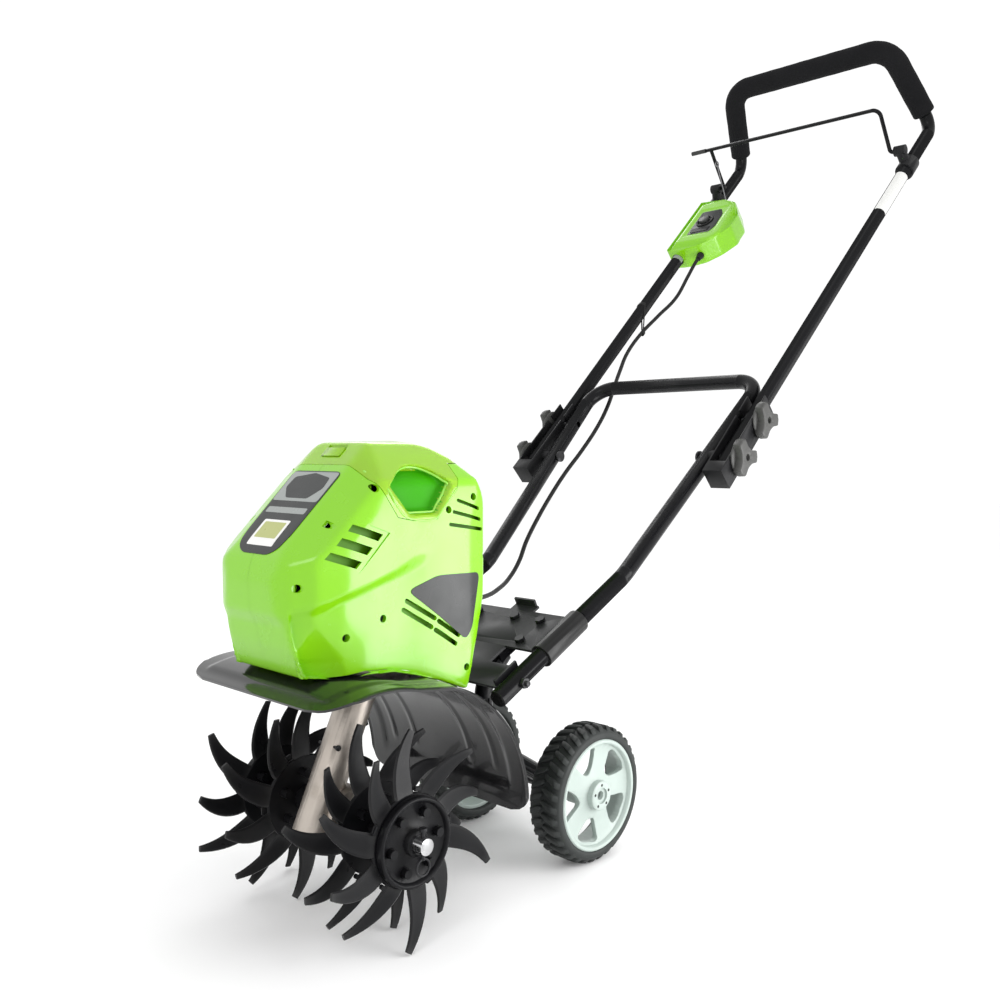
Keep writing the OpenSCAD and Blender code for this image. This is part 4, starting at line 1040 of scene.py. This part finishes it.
def handle_pieces():
    box = switch_box()
    grip_corner = Vector((140, 972, 1110))
    bend = Vector((173.7, 1063, 328 + 733 * math.tan(SLOPE)))

    # Foam grip: swept along the bar and its two corners, with pinched ends.
    start = grip_corner + (bend - grip_corner).normalized() * ((bend - grip_corner).length - 26)
    grip_path = []
    d0, d1 = (grip_corner - start).normalized(), Vector((-1, 0, 0))
    trim = 40 * math.tan(math.acos(d0.dot(d1)) / 2)
    p0, p1 = grip_corner - d0 * trim, grip_corner + d1 * trim
    centre = p0 + (d1 - d0.dot(d1) * d0).normalized() * 40
    turn = math.acos(d0.dot(d1))
    u, v = (p0 - centre).normalized(), d0
    corner = [centre + 40 * (u * math.cos(turn * k / 14) + v * math.sin(turn * k / 14)) for k in range(15)]
    leg = [start + (p0 - start) * (k / 10) for k in range(10)]
    bar = [Vector((p1.x - 2 * p1.x * k / 24, p1.y, p1.z)) for k in range(1, 24)]
    half = leg + corner
    path = half + bar + [Vector((-q.x, q.y, q.z)) for q in reversed(half)]
    n = len(path)
    side = Vector((1, 0, 0)).cross(path[1] - path[0]).normalized()
    ends = [(0.0, 10.3), (0.0, 14.5), (0.7, 16.2), (2.2, 17.0)]
    first, last = (path[1] - path[0]).normalized(), (path[-1] - path[-2]).normalized()
    stations = [(path[0] + first * h, first, r) for h, r in ends]
    for i in range(1, n - 1):
        t = (path[i + 1] - path[i - 1]).normalized()
        r = 17.0 + 0.12 * math.sin(i * 2.1) + 0.1 * math.sin(i * 5.3)
        stations.append((path[i], t, r))
    stations += [(path[-1] - last * h, last, r) for h, r in reversed(ends)]
    bm = bmesh.new()
    rows = []
    for p, t, r in stations:
        side = (side - side.dot(t) * t).normalized()
        other = t.cross(side)
        rows.append([bm.verts.new((p + (side * math.cos(a) + other * math.sin(a)) * r) * MM)
                     for a in [rad(10 * k) for k in range(36)]])
    stitch(bm, rows, caps=False)
    grip = from_bm("foam_grip_look", bm, "foam", 50)
    place(grip, "upper", "foam", "foam_grip")

    # The bail rod with the eye at its far end, and the wire that it pulls.
    refine("bail", "paint", 0.0)
    eye = tube("bail_tip", [(-160, 918, 1000), (-176, 918, 1000), (-188, 918, 1000)], 3.6, "grip_sleeve")
    place(eye, "bail", "black_paint")
    hook = (-148, 935, 978)
    inlet = box @ (Vector((34, 2, -8)) * MM) / MM
    mid = Vector(hook).lerp(inlet, 0.55) + Vector((0, 1.5, -1.5))
    wire = tube("pull_wire", [hook, Vector(hook).lerp(inlet, 0.3), mid, inlet], 0.8, "wire", 14)
    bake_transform(wire)
    loop = [Vector(hook) + Vector(d) for d in ((0, 4.6, 0), (0, 0, 4.6), (0, -4.6, 0), (0, 0, -4.6))]
    loop = tube("pull_loop", loop, 0.9, "wire", 8, True)
    place(loop, "bail", "steel")
    grommet = lathe("wire_grommet", [(1.2, -3), (4.0, -3), (4.0, 1.5), (2.6, 3.5), (1.2, 3.5)], inlet,
                    (Vector(hook) - inlet).normalized(), "black", 24)
    place(grommet, "upper", "plastic_black")
    refine("bail_block", "grey", 1.4, 3)

    # Cable from the switch box down behind the crossbar to the back of the head, in one piece.
    route = [(-124.9, 857.2, 811), (-124.7, 846.1, 800.9), (-124.5, 835, 790.8), (-128, 818, 766),
             (-138, 800, 731), (-146, 760, 697), (-150, 715, 662), (-149, 680, 630), (-140, 650, 600),
             (-133.5, 633, 584), (-128, 620, 572), (-118, 592, 543), (-112, 560, 511), (-110, 522, 476),
             (-110, 484, 443), (-110, 455, 414), (-110, 425, 380), (-108, 400, 350), (-102, 380, 326),
             (-92, 350, 306), (-78, 315, 296), (-62, 275, 292), (-46, 235, 296), (-34, 200, 306),
             (-28, 170, 318), (-26, 150, 325), (-26, 137, 328)]
    cable = tube("control_cable", route, 3.0, "cable", 8)
    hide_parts("cable_upper", "cable_lower")
    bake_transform(cable)
    boot = [(3.05, 0), (7.5, 0), (7.5, 3), (5.6, 5), (5.2, 18), (4.2, 20), (3.05, 20)]
    boot = lathe("cable_boot", boot, (-26, 143, 326.5), (0, 0.985, -0.17), "black", 32)
    place(boot, "machine", "plastic_black")

    def tube_at(t):
        return TUBE_BEND + (TUBE_LOW - TUBE_BEND).normalized() * t

    # A tie round the tube at p and the cable at q.
    p, q = tube_at(430), Vector((-149.6, 722, 666))
    d = q - p
    dn = (d - d.dot(UP) * UP).normalized()
    across = UP.cross(dn)
    bm = bmesh.new()
    rows = []
    for c, base, r in ((p, 90, 10.6), (q, -90, 3.6)):
        for k in range(9):
            a = rad(base + 22.5 * k)
            pt = c + (dn * math.cos(a) + across * math.sin(a)) * r
            out = (pt - (p + q) / 2).normalized()
            rows.append([bm.verts.new((pt + UP * h + out * lift) * MM)
                         for h, lift in ((-2.5, 0), (2.5, 0), (2.5, 1.1), (-2.5, 1.1))])
    stitch(bm, rows + rows[:1], caps=False)
    place(from_bm("cable_tie_upper", bm, "black", 40), "upper", "plastic_black")

    # Plugs in the open ends of the lower legs.
    for side in (-1, 1):
        way = Vector((side * 113, 119.1, 219.2)) - Vector((side * 113, 330, 328))
        plug = [(0, 1.6), (8.6, 1.6), (10, 0.4), (10, 0.05), (8.2, 0.05), (8.2, -9), (0, -9)]
        plug = lathe("leg_plug", plug, (side * 113, 119.1, 219.2), way, "black", 40)
        place(plug, "machine", "plastic_black")

    # Blank labels on the tubes.
    def tube_label(name, a, b, r, spread, mat):
        t = (b - a).normalized()
        f = Vector((0.6, -0.8, 0.1))
        f = (f - f.dot(t) * t).normalized()
        g = t.cross(f)
        # Section: an arc under the label, and back over it.
        arc = [rad(spread) * (k / 7 - 1) for k in range(15)]
        section = [(angle, 0.08) for angle in arc] + [(angle, 0.43) for angle in reversed(arc)]
        bm = bmesh.new()
        rows = []
        for i in range(25):
            base = a.lerp(b, i / 24)
            rows.append([bm.verts.new((base + (f * math.cos(t) + g * math.sin(t)) * (r + lift)) * MM)
                         for t, lift in section])
        stitch(bm, rows)
        place(from_bm(name, bm, mat, 40), "upper", "label")

    def left_at(t):
        q = tube_at(t)
        return Vector((-q.x, q.y, q.z))

    tube_label("handle_label", left_at(250), left_at(150), 10, 62, "label_white")
    tube_label("handle_tag", tube_at(300), tube_at(276), 10, 55, "label_light")
    tube_label("handle_tag_red", tube_at(276), tube_at(270), 10.02, 55, "label_red")


fender()
for side, name in ((1, "left"), (-1, "right")):
    tine_star(name + "_outer_tine", 112, -9 if side > 0 else 9, side)
    tine_star(name + "_inner_tine", 62, 4 if side > 0 else 22, side)
    tine_hub(side, name + "_hub")
    wheel(side, name)
    knob(side, 51 / math.cos(SLOPE), "upper_%s_knob" % name, "knob_upper_" + name)
    knob(side, 0.0, "lower_%s_knob" % name, "knob_lower_" + name)
handle_pieces()

LOOKS = {
    "left_bracket": ("grey", 1.6, 3), "right_bracket": ("grey", 1.6, 3), "lower_handle": ("paint", 0, 1),
    "upper_handle": ("paint", 0, 1), "wheel_frame": ("paint", 0.5, 2), "wheel_axle": ("steel", 0.4, 2),
    "cross_plate": ("plate", 0.6, 2), "plate_bolts": ("bolt", 0.4, 2), "leg_sleeves": ("black", 0.8, 2),
    "chassis": ("plate", 0.5, 2), "gear_case_left": ("cast", 1.2, 3), "gear_case_right": ("cast", 1.2, 3),
    "gear_case_screws": ("bolt", 0.3, 2), "tine_shaft": ("steel", 0.5, 2), "cotter_pins": ("bolt", 0.4, 2),
    "fold_bolts": ("bolt", 0.4, 2), "clamp_bolts": ("bolt", 0.4, 2), "lid_latch": ("lid", 0.9, 3),
    "battery_pack": ("pack", 1.6, 3), "battery_tray": ("grey", 0.6, 2), "battery_release": ("green", 1.0, 3),
    "terminal_block": ("black", 0.4, 2), "controller": ("board", 0.2, 1), "motor_can": ("grey", 0.6, 2),
    "motor_end_plate": ("cast", 0.5, 2), "housing_screws": ("bolt", 0.3, 2), "lid_hinge_pin": ("steel", 0.3, 2),
    "cooling_fan": ("black", 0.2, 1), "shaft_bushes": ("bronze", 0.3, 1), "drive_bearings": ("steel", 0.3, 1),
}
for node, (mat, width, segments) in LOOKS.items():
    refine(node, mat, width, segments)
for node, mat in (("armature", "copper"), ("worm_shaft", "steel"), ("worm_wheel", "bronze")):
    for slot in NODES[node].material_slots:
        slot.material = M[mat]
